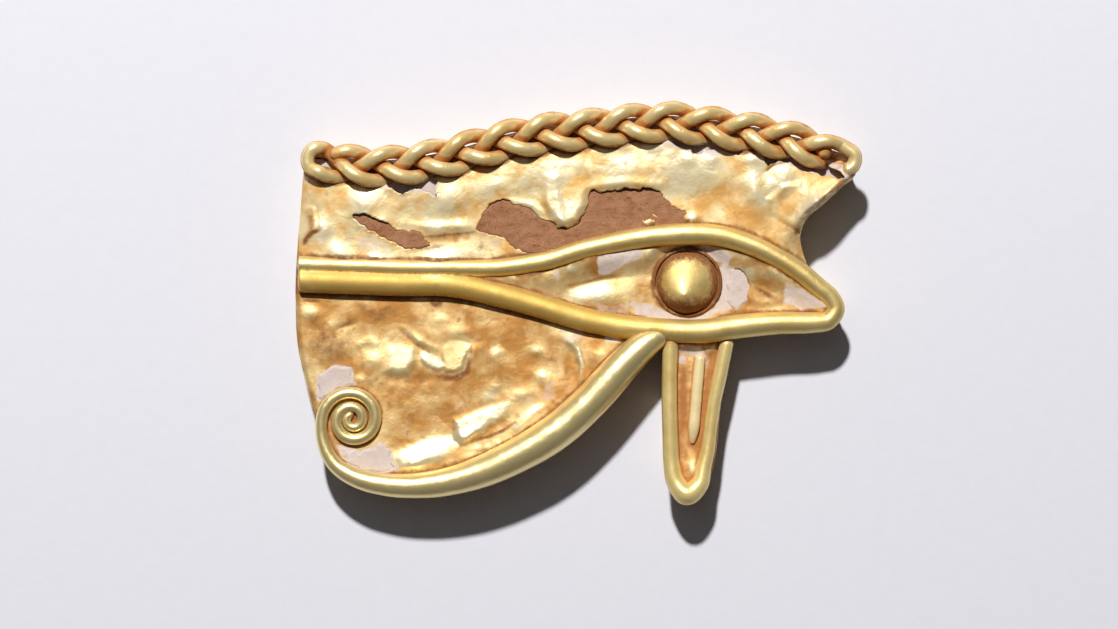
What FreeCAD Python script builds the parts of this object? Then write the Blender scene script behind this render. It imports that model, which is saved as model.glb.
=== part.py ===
import FreeCAD, Part
import math
import os

# A wedjat eye amulet of sheet, foil and wire gold over a packed core.
# It lies on its flat back with its front up. X runs along the eye towards its outer corner,
# Y runs up to the brow, Z is the thickness. The origin is the middle of the back face.

Vector = FreeCAD.Vector

# The driving sizes in millimetres, and the counts.
driving_sizes = {
    "overall_length": 24.0,
    "overall_width": 17.0,
    "back_thick": 0.25,
    "strip_thick": 0.2,
    "strip_height": 1.5,
    "plaster_thick": 0.15,
    "foil_thick": 0.08,
    "core_clearance": 0.03,
    "foil_clearance": 0.03,
    "lid_wire_thick": 1.02,
    "lid_arm_gap": 0.07,
    "cheek_wire_thick": 1.53,
    "wire_joint_gap": 0.03,
    "volute_wire_thick": 0.44,
    "volute_turn_gap": 0.08,
    "volute_tip_radius": 0.29,
    "plait_wire_thick": 0.53,
    "plait_wide": 1.74,
    "plait_end_gap": 0.06,
    "plait_seat_gap": 0.02,
    "boss_wide": 2.62,
    "boss_height": 0.95,
    "boss_tip_radius": 0.5,
    "boss_sheet_thick": 0.18,
    "boss_lid_gap": 0.11,
    "collar_thick": 0.14,
    "collar_height": 0.28,
    "collar_gap": 0.03,
    "drop_wire_thick": 0.66,
    "drop_rib_thick": 0.36,
    "drop_joint_gap": 0.03,
}

# How far a wire's round section sinks into the seat that is cut flat under it.
wire_sink_share = 0.15
# How far the strands of the plait rise and dip, as a share of their thickness.
plait_lift_share = 0.70
# Bumps along one edge of the plait, and the volute's turns, are counts.
plait_bumps = 13
plait_strands = 3
# How far the single wire turns on round the right end of the plait.
plait_hook_angle = math.radians(60)
points_per_wave = 8
tangent_step_share = 0.001
volute_turns = 2
quarters_per_turn = 4

# Outlines of the tray, as shares of the overall length and width from the middle.
top_edge_shares = [
    (-0.482, 0.375), (-0.413, 0.360), (-0.353, 0.353), (-0.270, 0.365), (-0.199, 0.388),
    (-0.134, 0.415), (-0.052, 0.438), (0.024, 0.450), (0.086, 0.458), (0.155, 0.465),
    (0.235, 0.453), (0.314, 0.435), (0.401, 0.403), (0.481, 0.360),
]
brow_tail_shares = [(0.481, 0.360), (0.488, 0.328), (0.468, 0.296)]
notch_shares = [
    (0.468, 0.296), (0.427, 0.243), (0.399, 0.208), (0.390, 0.166), (0.396, 0.121), (0.406, 0.086),
]
eye_tip_shares = [
    (0.406, 0.086), (0.431, 0.046), (0.452, 0.014), (0.461, -0.016), (0.450, -0.046),
    (0.419, -0.064), (0.357, -0.069), (0.286, -0.076), (0.215, -0.089), (0.148, -0.094),
]
cheek_edge_shares = [
    (0.148, -0.094), (0.109, -0.158), (0.038, -0.263), (-0.033, -0.350), (-0.104, -0.405),
    (-0.192, -0.453), (-0.263, -0.470), (-0.346, -0.465), (-0.401, -0.443), (-0.435, -0.405),
    (-0.456, -0.338), (-0.468, -0.268), (-0.482, -0.193), (-0.495, -0.106), (-0.499, 0.006),
    (-0.497, 0.106), (-0.489, 0.253), (-0.482, 0.375),
]

# Outline of the drop that hangs under the eye, and the level where its top meets the tray.
drop_left_shares = [
    (0.151, -0.060), (0.151, -0.343), (0.153, -0.393), (0.158, -0.428), (0.169, -0.468),
    (0.190, -0.493), (0.212, -0.483),
]
drop_right_shares = [
    (0.212, -0.483), (0.222, -0.460), (0.235, -0.418), (0.242, -0.365), (0.247, -0.296),
    (0.252, -0.241), (0.261, -0.183), (0.276, -0.060),
]

# The folded lid wire: place along the length and width, and thickness as a share of the full one.
upper_lid_shares = [
    (-0.495, 0.095, 0.73), (-0.404, 0.091, 0.74), (-0.316, 0.085, 0.75), (-0.227, 0.084, 0.76),
    (-0.139, 0.085, 0.77), (-0.104, 0.091, 0.78), (-0.050, 0.106, 0.80), (0.003, 0.130, 0.82),
    (0.073, 0.152, 0.86), (0.144, 0.167, 0.89), (0.197, 0.171, 0.90), (0.250, 0.166, 0.89),
    (0.295, 0.148, 0.87), (0.348, 0.113, 0.84), (0.392, 0.074, 0.82), (0.424, 0.036, 0.80),
]
lid_fold_shares = [(0.443, 0.014, 0.77), (0.453, -0.016, 0.76), (0.440, -0.045, 0.78), (0.413, -0.050, 0.86)]
lower_lid_shares = [
    (0.357, -0.051, 0.94), (0.286, -0.059, 1.0), (0.215, -0.072, 1.0), (0.144, -0.069, 1.0),
    (0.073, -0.059, 1.0), (0.003, -0.039, 1.0), (-0.068, -0.009, 1.0), (-0.139, 0.019, 1.0),
]
# Along the left stretch the lower arm lies beside the upper one, at these upper points.
side_by_side_points = 4

# The cheek wire after its volute, with its thickness as a share of the full one.
volute_middle_share = (-0.399, -0.292)
cheek_wire_shares = [
    (-0.452, -0.338, 0.33), (-0.430, -0.403, 0.42), (-0.396, -0.434, 0.53), (-0.342, -0.453, 0.62),
    (-0.263, -0.453, 0.73), (-0.181, -0.426, 0.86), (-0.118, -0.387, 0.95), (-0.050, -0.332, 1.0),
    (0.017, -0.251, 0.99), (0.088, -0.141, 0.92), (0.116, -0.098, 0.80),
]

# The middle line of the plait.
plait_line_shares = [
    (-0.452, 0.353), (-0.413, 0.343), (-0.353, 0.337), (-0.270, 0.350), (-0.199, 0.373),
    (-0.134, 0.399), (-0.052, 0.420), (0.024, 0.431), (0.086, 0.441), (0.155, 0.448),
    (0.235, 0.435), (0.314, 0.418), (0.401, 0.388), (0.466, 0.356),
]

# Tears and bare places in the foils. In the tears of the brow the plaster is lost too.
brow_tear_shares = [
    (-0.165, 0.226), (-0.130, 0.261), (-0.082, 0.236), (-0.047, 0.206), (-0.015, 0.188),
    (0.017, 0.226), (0.024, 0.278), (0.146, 0.281), (0.153, 0.248), (0.197, 0.223),
    (0.153, 0.201), (0.109, 0.201), (0.047, 0.176), (0.003, 0.161), (-0.059, 0.141),
    (-0.118, 0.146), (-0.130, 0.173), (-0.174, 0.171),
]
brow_slit_shares = [
    (-0.399, 0.221), (-0.369, 0.216), (-0.325, 0.183), (-0.281, 0.176), (-0.192, 0.173),
    (-0.281, 0.158), (-0.330, 0.158), (-0.378, 0.196),
]
brow_gap_shares = [
    [(-0.330, 0.303), (-0.250, 0.305), (-0.263, 0.286), (-0.295, 0.273), (-0.325, 0.283)],
    [(0.197, 0.390), (0.282, 0.385), (0.281, 0.363), (0.236, 0.368)],
    [(0.330, 0.375), (0.449, 0.335), (0.445, 0.313), (0.392, 0.325), (0.365, 0.350), (0.335, 0.343)],
]
eye_gap_shares = [
    [(0.042, 0.123), (0.109, 0.131), (0.109, 0.086), (0.045, 0.076)],
    [(0.263, 0.086), (0.282, 0.076), (0.279, 0.011), (0.263, 0.006)],
    [(0.374, 0.039), (0.435, -0.001), (0.378, -0.011)],
]
cheek_gap_shares = [
    [(-0.454, -0.131), (-0.404, -0.143), (-0.413, -0.206), (-0.454, -0.228)],
    [(-0.417, -0.365), (-0.337, -0.363), (-0.323, -0.413), (-0.383, -0.400)],
]

# The pupil's place, and the drop's wires, which run up to the lid wire.
boss_place_share = (0.192, 0.050)
drop_wire_shares = [
    (0.165, -0.070), (0.165, -0.343), (0.167, -0.400), (0.174, -0.450), (0.192, -0.477),
    (0.212, -0.456), (0.221, -0.408), (0.228, -0.365), (0.234, -0.296), (0.240, -0.241),
    (0.249, -0.183), (0.264, -0.070),
]
drop_rib_shares = [(0.213, -0.148), (0.209, -0.256), (0.203, -0.330), (0.199, -0.368)]
drop_foil_top_share = -0.120

doc = FreeCAD.newDocument("wedjat_eye_amulet")
sheet = doc.addObject("Spreadsheet::Sheet", "sizes")
for row, (alias, value) in enumerate(driving_sizes.items(), start=1):
    sheet.set("A%d" % row, alias)
    sheet.set("B%d" % row, str(value))
    sheet.setAlias("B%d" % row, alias)
doc.recompute()


def size(alias):
    return float(sheet.get(alias))


def place(shares, level=0):
    return Vector(shares[0] * size("overall_length"), shares[1] * size("overall_width"), level)


def places(table):
    return [place(shares) for shares in table]


# Smooth lines through points: each stretch is two arcs that meet without a kink.
def arc_between(start, direction, finish):
    chord = finish - start
    turn = direction.getAngle(chord)
    if math.sin(turn) < 1e-6:
        return Part.LineSegment(start, finish)
    side = direction - chord * (direction.dot(chord) / chord.dot(chord))
    side.normalize()
    bulge = side * (chord.Length / 2 * math.tan(turn / 2))
    return Part.Arc(start, (start + finish) / 2 + bulge, finish)


def biarc(start, leaving, finish, arriving):
    chord = finish - start
    bend = 2 * (1 - leaving.dot(arriving))
    lean = chord.dot(leaving + arriving)
    if bend < 1e-9:
        reach = chord.dot(chord) / (2 * lean)
    else:
        reach = (math.sqrt(lean * lean + bend * chord.dot(chord)) - lean) / bend
    before = start + leaving * reach
    after = finish - arriving * reach
    middle = (before + after) / 2
    along = after - before
    along.normalize()
    return [arc_between(start, leaving, middle), arc_between(middle, along, finish)]


def directions(points):
    found = []
    for before, point, after in zip(points, points[1:], points[2:]):
        came = point - before
        goes = after - point
        direction = came * (goes.Length / came.Length) + goes * (came.Length / goes.Length)
        direction.normalize()
        found.append(direction)
    ends = []
    for chord, inner in ((points[1] - points[0], found[0]), (points[-1] - points[-2], found[-1])):
        chord.normalize()
        ends.append(chord * (2 * chord.dot(inner)) - inner)
    return [ends[0]] + found + [ends[1]]


def smooth_line(points, headings=None):
    headings = headings or directions(points)
    line = []
    for index in range(len(points) - 1):
        line += biarc(points[index], headings[index], points[index + 1], headings[index + 1])
    return line


def straight_line(points):
    return [Part.LineSegment(start, finish) for start, finish in zip(points, points[1:])]


def wire_of(curves):
    return Part.Wire([curve.toShape() for curve in curves])


def closed_shape(points):
    return Part.Face(wire_of(straight_line(points + points[:1])))


# Sketches take their lines and arcs from a flat face.
def sketch_curve(edge):
    start = edge.valueAt(edge.FirstParameter)
    finish = edge.valueAt(edge.LastParameter)
    if edge.Curve.TypeId == "Part::GeomLine":
        return Part.LineSegment(start, finish)
    if edge.isClosed():
        return Part.Circle(edge.Curve.Center, Vector(0, 0, 1), edge.Curve.Radius)
    middle = edge.valueAt((edge.FirstParameter + edge.LastParameter) / 2)
    if (middle - start).cross(finish - middle).z < 0:
        start, finish = finish, start
    return Part.Arc(start, middle, finish)


def add_sketch(body, name, face):
    sketch = body.newObject("Sketcher::SketchObject", name)
    flat_plane = [plane for plane in body.Origin.OriginFeatures if plane.Role == "XY_Plane"][0]
    sketch.AttachmentSupport = [(flat_plane, "")]
    sketch.MapMode = "FlatFace"
    for outline in face.Wires:
        for edge in outline.Edges:
            sketch.addGeometry(sketch_curve(edge), False)
    return sketch


def add_pad(body, name, face, height):
    pad = body.newObject("PartDesign::Pad", name + "_pad")
    pad.Profile = add_sketch(body, name + "_outline", face)
    pad.setExpression("Length", height)
    body.Tip = pad


# A flat piece: one or more pads on the same level, each a face and the height that it rises.
def flat_piece(label, level, layers):
    body = doc.addObject("PartDesign::Body", label)
    body.Label = label
    for number, (face, height) in enumerate(layers, start=1):
        add_pad(body, "%s_%d" % (label, number), face, height)
    body.setExpression("Placement.Base.z", level)
    pieces.append(body)


# A wire piece, whose solid follows its path.
def wire_piece(label, solid):
    feature = doc.addObject("Part::Feature", label)
    feature.Label = label
    feature.Shape = solid
    feature.Placement = FreeCAD.Placement()
    pieces.append(feature)


# A wire that lies on the foil: round above, with a flat seat where it is soldered down.
def seated_section(point, heading, thickness):
    radius = thickness / 2
    rise = radius * (1 - 2 * wire_sink_share)
    across = Vector(-heading.y, heading.x, 0)
    seat_edge = across * math.sqrt(radius * radius - rise * rise)
    middle = point + Vector(0, 0, rise)
    top = middle + Vector(0, 0, radius)
    left_side = Part.Arc(point + seat_edge, middle + across * radius, top)
    right_side = Part.Arc(top, middle - across * radius, point - seat_edge)
    return wire_of([left_side, right_side, Part.LineSegment(point - seat_edge, point + seat_edge)])


def station(shares, full_thickness):
    return place(shares, foil_top), shares[2] * full_thickness


# Its thickness changes along the path from one station to the next.
def seated_wire(stations):
    points = [point for point, thickness in stations]
    headings = directions(points)
    sections = []
    for (point, thickness), heading in zip(stations, headings):
        sections.append(seated_section(point, heading, thickness))
    return wire_of(smooth_line(points, headings)).makePipeShell(sections, True, False)


# A round wire of one thickness along a path that rises and dips.
def round_wire(curves, thickness):
    path = wire_of(curves)
    first = path.Edges[0]
    start = first.valueAt(first.FirstParameter)
    ring = Part.Wire(Part.makeCircle(thickness / 2, start, first.tangentAt(first.FirstParameter)))
    return path.makePipeShell([ring], True, False)


pieces = []
foil_top = size("back_thick") + size("strip_height") + size("foil_thick")
strip_level = "sizes.back_thick"
plaster_level = "sizes.back_thick + sizes.strip_height - sizes.plaster_thick"
foil_level = "sizes.back_thick + sizes.strip_height"

# The tray's outline, smooth between its corners.
tray_tables = [top_edge_shares, brow_tail_shares, notch_shares, eye_tip_shares, cheek_edge_shares]
tray_line = []
for table in tray_tables:
    tray_line += smooth_line(places(table))
tray_face = Part.Face(wire_of(tray_line))

# The drop's outline, without the part that lies under the tray.
drop_line = smooth_line(places(drop_left_shares)) + smooth_line(places(drop_right_shares))
drop_line += straight_line([place(drop_right_shares[-1]), place(drop_left_shares[0])])
whole_drop_face = Part.Face(wire_of(drop_line))
tray_with_room = tray_face.makeOffset2D(size("drop_joint_gap"))
drop_face = whole_drop_face.cut(tray_with_room).Faces[0]


def inset(face, distance):
    return face.makeOffset2D(-distance)


# Back sheet: one plate under the tray and the drop.
flat_piece("back_sheet", "0 mm", [(tray_face, "sizes.back_thick"), (whole_drop_face, "sizes.back_thick")])

# Edge strip: the upright strip round the tray.
tray_inside = inset(tray_face, size("strip_thick"))
flat_piece("edge_strip", strip_level, [(tray_face.cut(tray_inside).Faces[0], "sizes.strip_height")])

# Core and plaster: both fill the tray, and the core rises through the plaster in the brow's tears.
bed_face = inset(tray_face, size("strip_thick") + size("core_clearance"))
tears = [closed_shape(places(table)) for table in (brow_tear_shares, brow_slit_shares)]
core_height = "sizes.strip_height - sizes.plaster_thick"
core_layers = [(bed_face, core_height)]
for tear in tears:
    core_layers.append((inset(tear, size("core_clearance")), "sizes.strip_height"))
flat_piece("core_fill", strip_level, core_layers)
flat_piece("plaster_bed", plaster_level, [(bed_face.cut(tears).Faces[0], "sizes.plaster_thick")])

# Where the pupil stands. The lid wire goes round its collar, so a station too near to it moves straight out.
boss_place = place(boss_place_share, foil_top)
boss_radius = size("boss_wide") / 2
collar_radius = boss_radius + size("collar_gap") + size("collar_thick")


def clear_of_collar(point, thickness):
    outwards = point - boss_place
    least = collar_radius + thickness / 2 + size("boss_lid_gap")
    if outwards.Length < least:
        point = boss_place + outwards * (least / outwards.Length)
    return point, thickness


# Lid wire: the upper arm, the fold at the eye's corner, and the lower arm beside the upper one.
lid_thick = size("lid_wire_thick")
lid_shares = upper_lid_shares + lid_fold_shares + lower_lid_shares
lid_stations = [clear_of_collar(*station(shares, lid_thick)) for shares in lid_shares]
for number in reversed(range(side_by_side_points)):
    upper_point, upper_thickness = lid_stations[number]
    apart = (upper_thickness + lid_thick) / 2 + size("lid_arm_gap")
    lid_stations.append((upper_point - Vector(0, apart, 0), lid_thick))
wire_piece("lid_wire", seated_wire(lid_stations))

# Foils: each field runs to the middle line of the wire that covers its edge.
upper_count = len(upper_lid_shares) + len(lid_fold_shares) // 2
upper_points = [Vector(point.x, point.y, 0) for point, thickness in lid_stations[:upper_count]]
lower_points = [Vector(point.x, point.y, 0) for point, thickness in reversed(lid_stations[upper_count:])]
far = size("overall_length")
gap = Vector(0, size("foil_clearance"), 0)


# A field on one side of a line: above it, or below it where the height is negative.
def field_beside(points, shift, height):
    start = points[0] + shift - Vector(far, 0, 0)
    finish = points[-1] + shift + Vector(far, 0, 0)
    rise = Vector(0, height, 0)
    line = straight_line([start, points[0] + shift])
    line += smooth_line([point + shift for point in points])
    line += straight_line([points[-1] + shift, finish, finish + rise, start + rise, start])
    return Part.Face(wire_of(line))


above_upper = field_beside(upper_points, gap, far)
below_upper = field_beside(upper_points, gap * -1, -far)


# The cheek field lies under the lower arm, and ends where the drop begins.
def cheek_field(clearance):
    end_x = place(cheek_edge_shares[0]).x + clearance
    corners = [Vector(-far, -far, 0), Vector(end_x, -far, 0), Vector(end_x, far, 0), Vector(-far, far, 0)]
    left_room = closed_shape(corners)
    return field_beside(lower_points, Vector(0, clearance, 0), -far).common(left_room)


def foil_piece(label, face, holes):
    holed = face.cut([closed_shape(places(table)) for table in holes])
    largest = max(holed.Faces, key=lambda candidate: candidate.Area)
    flat_piece(label, foil_level, [(largest, "sizes.foil_thick")])


foil_piece("brow_foil", tray_face.common(above_upper), [brow_tear_shares, brow_slit_shares] + brow_gap_shares)
foil_piece("eye_foil", tray_face.common(below_upper).cut(cheek_field(size("foil_clearance"))), eye_gap_shares)
foil_piece("cheek_foil", tray_face.common(cheek_field(-size("foil_clearance"))), cheek_gap_shares)

# Cheek wire: the volute's turns from its tip, then out along the edge to the lid wire.
volute_middle = place(volute_middle_share, foil_top)
volute_pitch = size("volute_wire_thick") + size("volute_turn_gap")
cheek_stations = []
for quarter in range(volute_turns * quarters_per_turn + 1):
    turn = quarter / quarters_per_turn
    radius = size("volute_tip_radius") + volute_pitch * turn
    angle = math.pi * (1 + 2 * turn)
    thickness = size("volute_wire_thick")
    offset = Vector(radius * math.cos(angle), radius * math.sin(angle), 0)
    cheek_stations.append((volute_middle + offset, thickness))
cheek_stations += [station(shares, size("cheek_wire_thick")) for shares in cheek_wire_shares]
cheek_solid = seated_wire(cheek_stations)
lid_edge = []
for point, thickness in lid_stations[len(upper_lid_shares) + len(lid_fold_shares):]:
    lid_edge.append(Vector(point.x, point.y - thickness / 2 - size("wire_joint_gap"), 0))
beyond = Vector(0, far, 0)
far_side = [lid_edge[-1], lid_edge[-1] + beyond, lid_edge[0] + beyond, lid_edge[0]]
lid_room = Part.Face(wire_of(smooth_line(lid_edge) + straight_line(far_side))).extrude(Vector(0, 0, far))
wire_piece("cheek_wire", cheek_solid.cut(lid_room))

# Plait: three strands of round wire that cross in turn. Two of them are one wire, folded at the left end.
plait_thick = size("plait_wire_thick")
plait_swing = (size("plait_wide") - plait_thick) / 2
plait_lift = plait_lift_share * plait_thick
plait_level = foil_top + plait_lift + plait_thick / 2 + size("plait_seat_gap")
plait_wire = wire_of(smooth_line(places(plait_line_shares)))
plait_wave = plait_wire.Length * plait_strands / plait_bumps


def on_line(line, distance):
    for edge in line.Edges:
        if distance <= edge.Length or edge.isSame(line.Edges[-1]):
            spot = edge.getParameterByLength(min(distance, edge.Length))
            return edge.valueAt(spot), edge.tangentAt(spot)
        distance -= edge.Length


def strand_point(phase, distance):
    middle, along = on_line(plait_wire, distance)
    across = Vector(-along.y, along.x, 0)
    angle = phase + 2 * math.pi * distance / plait_wave
    lift = Vector(0, 0, plait_level - plait_lift * math.sin(2 * angle))
    return middle + across * (plait_swing * math.cos(angle)) + lift


def strand_run(phase, start, finish):
    steps = max(1, round((finish - start) / plait_wave * points_per_wave))
    nudge = plait_wave * tangent_step_share
    points = []
    headings = []
    for step in range(steps + 1):
        distance = start + (finish - start) * step / steps
        inner = min(max(distance, nudge), plait_wire.Length - nudge)
        points.append(strand_point(phase, distance))
        heading = strand_point(phase, inner + nudge) - strand_point(phase, inner - nudge)
        heading.normalize()
        headings.append(heading)
    return points, headings


# Where a wire turns round the end of the plait, and which way it heads there.
def end_turn(distance, outwards, turned=0):
    middle, along = on_line(plait_wire, distance)
    across = Vector(-along.y, along.x, 0)
    outward = along * (outwards * math.cos(turned)) + across * math.sin(turned)
    heading = across * math.cos(turned) - along * (outwards * math.sin(turned))
    return middle + outward * plait_swing + Vector(0, 0, plait_level), heading


upper_phase = math.pi / 6
lower_phase = math.pi - upper_phase
middle_phase = -math.pi / 2
plait_length = plait_wire.Length
stop = plait_length - plait_thick - size("plait_end_gap")
upper_run = strand_run(upper_phase, 0, stop)
lower_run = strand_run(lower_phase, 0, stop)
fold_point, fold_heading = end_turn(0, -1)
folded_points = lower_run[0][::-1] + [fold_point] + upper_run[0]
folded_headings = [heading * -1 for heading in lower_run[1][::-1]] + [fold_heading] + upper_run[1]
folded_line = smooth_line(folded_points, folded_headings)
wire_piece("brow_plait_folded_wire", round_wire(folded_line, plait_thick))

single_run = strand_run(middle_phase, plait_thick, plait_length)
hook_turns = [end_turn(plait_length, 1, turned) for turned in (0, -plait_hook_angle)]
single_points = single_run[0] + [point for point, heading in hook_turns]
single_headings = single_run[1] + [heading * -1 for point, heading in hook_turns]
single_line = smooth_line(single_points, single_headings)
wire_piece("brow_plait_single_wire", round_wire(single_line, plait_thick))

def dome_profile(radius, height, tip_radius):
    # A straight flank that leans in and runs into a round tip.
    tip_middle = Vector(0, height - tip_radius, 0)
    foot = Vector(radius, 0, 0)
    reach = foot - tip_middle
    lean = math.acos(tip_radius / reach.Length)
    start = math.atan2(reach.y, reach.x) + lean
    touch = tip_middle + Vector(tip_radius * math.cos(start), tip_radius * math.sin(start), 0)
    halfway = (start + math.pi / 2) / 2
    between = tip_middle + Vector(tip_radius * math.cos(halfway), tip_radius * math.sin(halfway), 0)
    top = Vector(0, height, 0)
    return foot, touch, between, top


def add_dome(body, name, radius, height, tip_radius, inner):
    wall = size("boss_sheet_thick")
    foot, touch, between, top = dome_profile(radius, height, tip_radius)
    low_foot, low_touch, low_between, low_top = dome_profile(radius - wall, height - wall, inner)
    sketch = body.newObject("Sketcher::SketchObject", name)
    upright_plane = [plane for plane in body.Origin.OriginFeatures if plane.Role == "XZ_Plane"][0]
    sketch.AttachmentSupport = [(upright_plane, "")]
    sketch.MapMode = "FlatFace"
    sketch.addGeometry(Part.LineSegment(foot, touch), False)
    sketch.addGeometry(Part.Arc(touch, between, top), False)
    sketch.addGeometry(Part.LineSegment(top, low_top), False)
    sketch.addGeometry(Part.Arc(low_touch, low_between, low_top), False)
    sketch.addGeometry(Part.LineSegment(low_touch, low_foot), False)
    sketch.addGeometry(Part.LineSegment(low_foot, foot), False)
    turned = body.newObject("PartDesign::Revolution", name + "_turned")
    turned.Profile = sketch
    turned.ReferenceAxis = (sketch, ["V_Axis"])
    turned.Angle = 360
    body.Tip = turned


# Pupil: a hollow domed boss in a short collar, tucked against the upper lid wire.
boss = doc.addObject("PartDesign::Body", "pupil_boss")
boss.Label = "pupil_boss"
tip_radius = size("boss_tip_radius")
add_dome(boss, "boss_profile", boss_radius, size("boss_height"), tip_radius, tip_radius - size("boss_sheet_thick"))
boss.Placement = FreeCAD.Placement(boss_place, FreeCAD.Rotation())
pieces.append(boss)

ring_middle = Vector(boss_place.x, boss_place.y, 0)
outer_ring = Part.Face(Part.Wire(Part.makeCircle(collar_radius, ring_middle)))
inner_ring = Part.Face(Part.Wire(Part.makeCircle(boss_radius + size("collar_gap"), ring_middle)))
collar_level = foil_level + " + sizes.foil_thick"
flat_piece("pupil_collar", collar_level, [(outer_ring.cut(inner_ring).Faces[0], "sizes.collar_height")])

# Drop: its own strip, core, plaster and foil, with a border wire and a rib.
drop_inside = inset(drop_face, size("strip_thick"))
drop_bed = inset(drop_inside, size("core_clearance"))
flat_piece("drop_edge_strip", strip_level, [(drop_face.cut(drop_inside).Faces[0], "sizes.strip_height")])
flat_piece("drop_core", strip_level, [(drop_bed, core_height)])
flat_piece("drop_plaster_bed", plaster_level, [(drop_bed, "sizes.plaster_thick")])
foil_start = drop_foil_top_share * size("overall_width")
below_top = Part.Face(Part.makePolygon([
    Vector(-far, foil_start, 0), Vector(far, foil_start, 0),
    Vector(far, -far, 0), Vector(-far, -far, 0), Vector(-far, foil_start, 0),
]))
flat_piece("drop_foil", foil_level, [(drop_face.common(below_top).Faces[0], "sizes.foil_thick")])
for label, table, thickness in (
    ("drop_border_wire", drop_wire_shares, size("drop_wire_thick")),
    ("drop_rib_wire", drop_rib_shares, size("drop_rib_thick")),
):
    wire_solid = seated_wire([(place(shares, foil_top), thickness) for shares in table])
    wire_piece(label, wire_solid.cut(lid_room))

doc.recompute()
for item in doc.Objects:
    if "Invalid" in item.State or "Error" in item.State:
        raise RuntimeError("%s did not build: %s" % (item.Label, item.State))
os.makedirs("parts", exist_ok=True)
for piece in pieces:
    shape = piece.Shape
    if shape.isNull() or not shape.isValid():
        raise RuntimeError("%s has no valid shape" % piece.Label)
    shape.exportStep("parts/%s.step" % piece.Label)
    print(piece.Label, len(shape.Solids), "solid", round(shape.Volume, 3), "cubic mm")
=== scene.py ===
import math

import bpy
import numpy as np
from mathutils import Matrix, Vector
from mathutils.kdtree import KDTree


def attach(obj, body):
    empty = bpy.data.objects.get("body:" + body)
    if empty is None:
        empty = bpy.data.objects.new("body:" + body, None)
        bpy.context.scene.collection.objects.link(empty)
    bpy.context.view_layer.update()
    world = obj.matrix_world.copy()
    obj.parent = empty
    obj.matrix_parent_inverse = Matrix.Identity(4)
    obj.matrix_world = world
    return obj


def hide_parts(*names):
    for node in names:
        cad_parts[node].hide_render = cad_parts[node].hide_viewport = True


# A gold wedjat eye amulet that lies on its back, seen from straight above.
# Shapes are worked out in millimetres in the CAD model's frame, and scaled to metres as they become meshes.

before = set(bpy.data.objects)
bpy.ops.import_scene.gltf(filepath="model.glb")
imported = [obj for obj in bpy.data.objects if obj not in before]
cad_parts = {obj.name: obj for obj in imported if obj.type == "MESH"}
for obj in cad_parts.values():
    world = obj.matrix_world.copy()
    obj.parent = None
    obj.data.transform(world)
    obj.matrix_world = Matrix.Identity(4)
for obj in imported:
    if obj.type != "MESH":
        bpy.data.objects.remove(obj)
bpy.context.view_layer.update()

mm = 0.001
amulet = {
    "length": 24.0,
    "width": 17.0,
    "backTop": 0.25,         # the plate under everything
    "stripTop": 1.75,        # the wall round the tray
    "seat": 1.83,            # the foil's top, where the wires are soldered down
    "sink": 0.15,            # how much of a wire's thickness the seat cuts away
    "photoMiddle": (578.5, 302.5),
    "photoScale": 0.0425,    # millimetres for each pixel of the photograph
}
seat = amulet["seat"]
latticeSize = 128            # the noise repeats after this many lumps
noiseStart = (37.3, 61.7)    # where on its lattice the noise is read


def fromPhoto(points):
    # pixels of the photograph become millimetres, and further columns stay
    points = np.array(points, float)
    flat = (points[:, :2] - amulet["photoMiddle"]) * (amulet["photoScale"], -amulet["photoScale"])
    return np.column_stack([flat, points[:, 2:]])


def fromShares(table):
    # shares of the amulet's length and width become millimetres, and further columns stay
    table = np.array(table, float)
    return np.column_stack([table[:, :2] * (amulet["length"], amulet["width"]), table[:, 2:]])


# Lines are tables of x and y, and further columns go along.
def runLength(points):
    return np.concatenate([[0], np.cumsum(np.linalg.norm(np.diff(points, axis=0), axis=1))])


def readAlong(points, run, where):
    return np.column_stack([np.interp(where, run, column) for column in points.T])


def evenly(points, step):
    run = runLength(points[:, :2])
    return readAlong(points, run, np.linspace(0, run[-1], max(2, round(run[-1] / step) + 1)))


def unit(vectors):
    return vectors / np.linalg.norm(vectors, axis=1)[:, None]


def circleAngles(count):
    return np.linspace(0, 2 * math.pi, count, endpoint=False)


def smoothPath(points, step):
    # a smooth line through the points; any further columns, such as a thickness, go along
    points = np.asarray(points, float)
    chord = np.linalg.norm(np.diff(points[:, :2], axis=0), axis=1)
    slope = np.diff(points, axis=0) / chord[:, None]
    tangent = np.zeros_like(points)
    before, after = chord[:-1, None], chord[1:, None]
    tangent[1:-1] = (slope[:-1] * after + slope[1:] * before) / (before + after)
    tangent[0] = 2 * slope[0] - tangent[1]
    tangent[-1] = 2 * slope[-1] - tangent[-2]
    dense = []
    for index, reach in enumerate(chord):
        u = np.linspace(0, 1, max(3, int(4 * reach / step)), endpoint=False)[:, None]
        dense.append(
            (2 * u**3 - 3 * u**2 + 1) * points[index] + (u**3 - 2 * u**2 + u) * reach * tangent[index]
            + (3 * u**2 - 2 * u**3) * points[index + 1] + (u**3 - u**2) * reach * tangent[index + 1]
        )
    return evenly(np.vstack(dense + [points[-1:]]), step)


def smoothstep(low, high, value):
    t = np.clip((value - low) / (high - low), 0, 1)
    return t * t * (3 - 2 * t)


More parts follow.
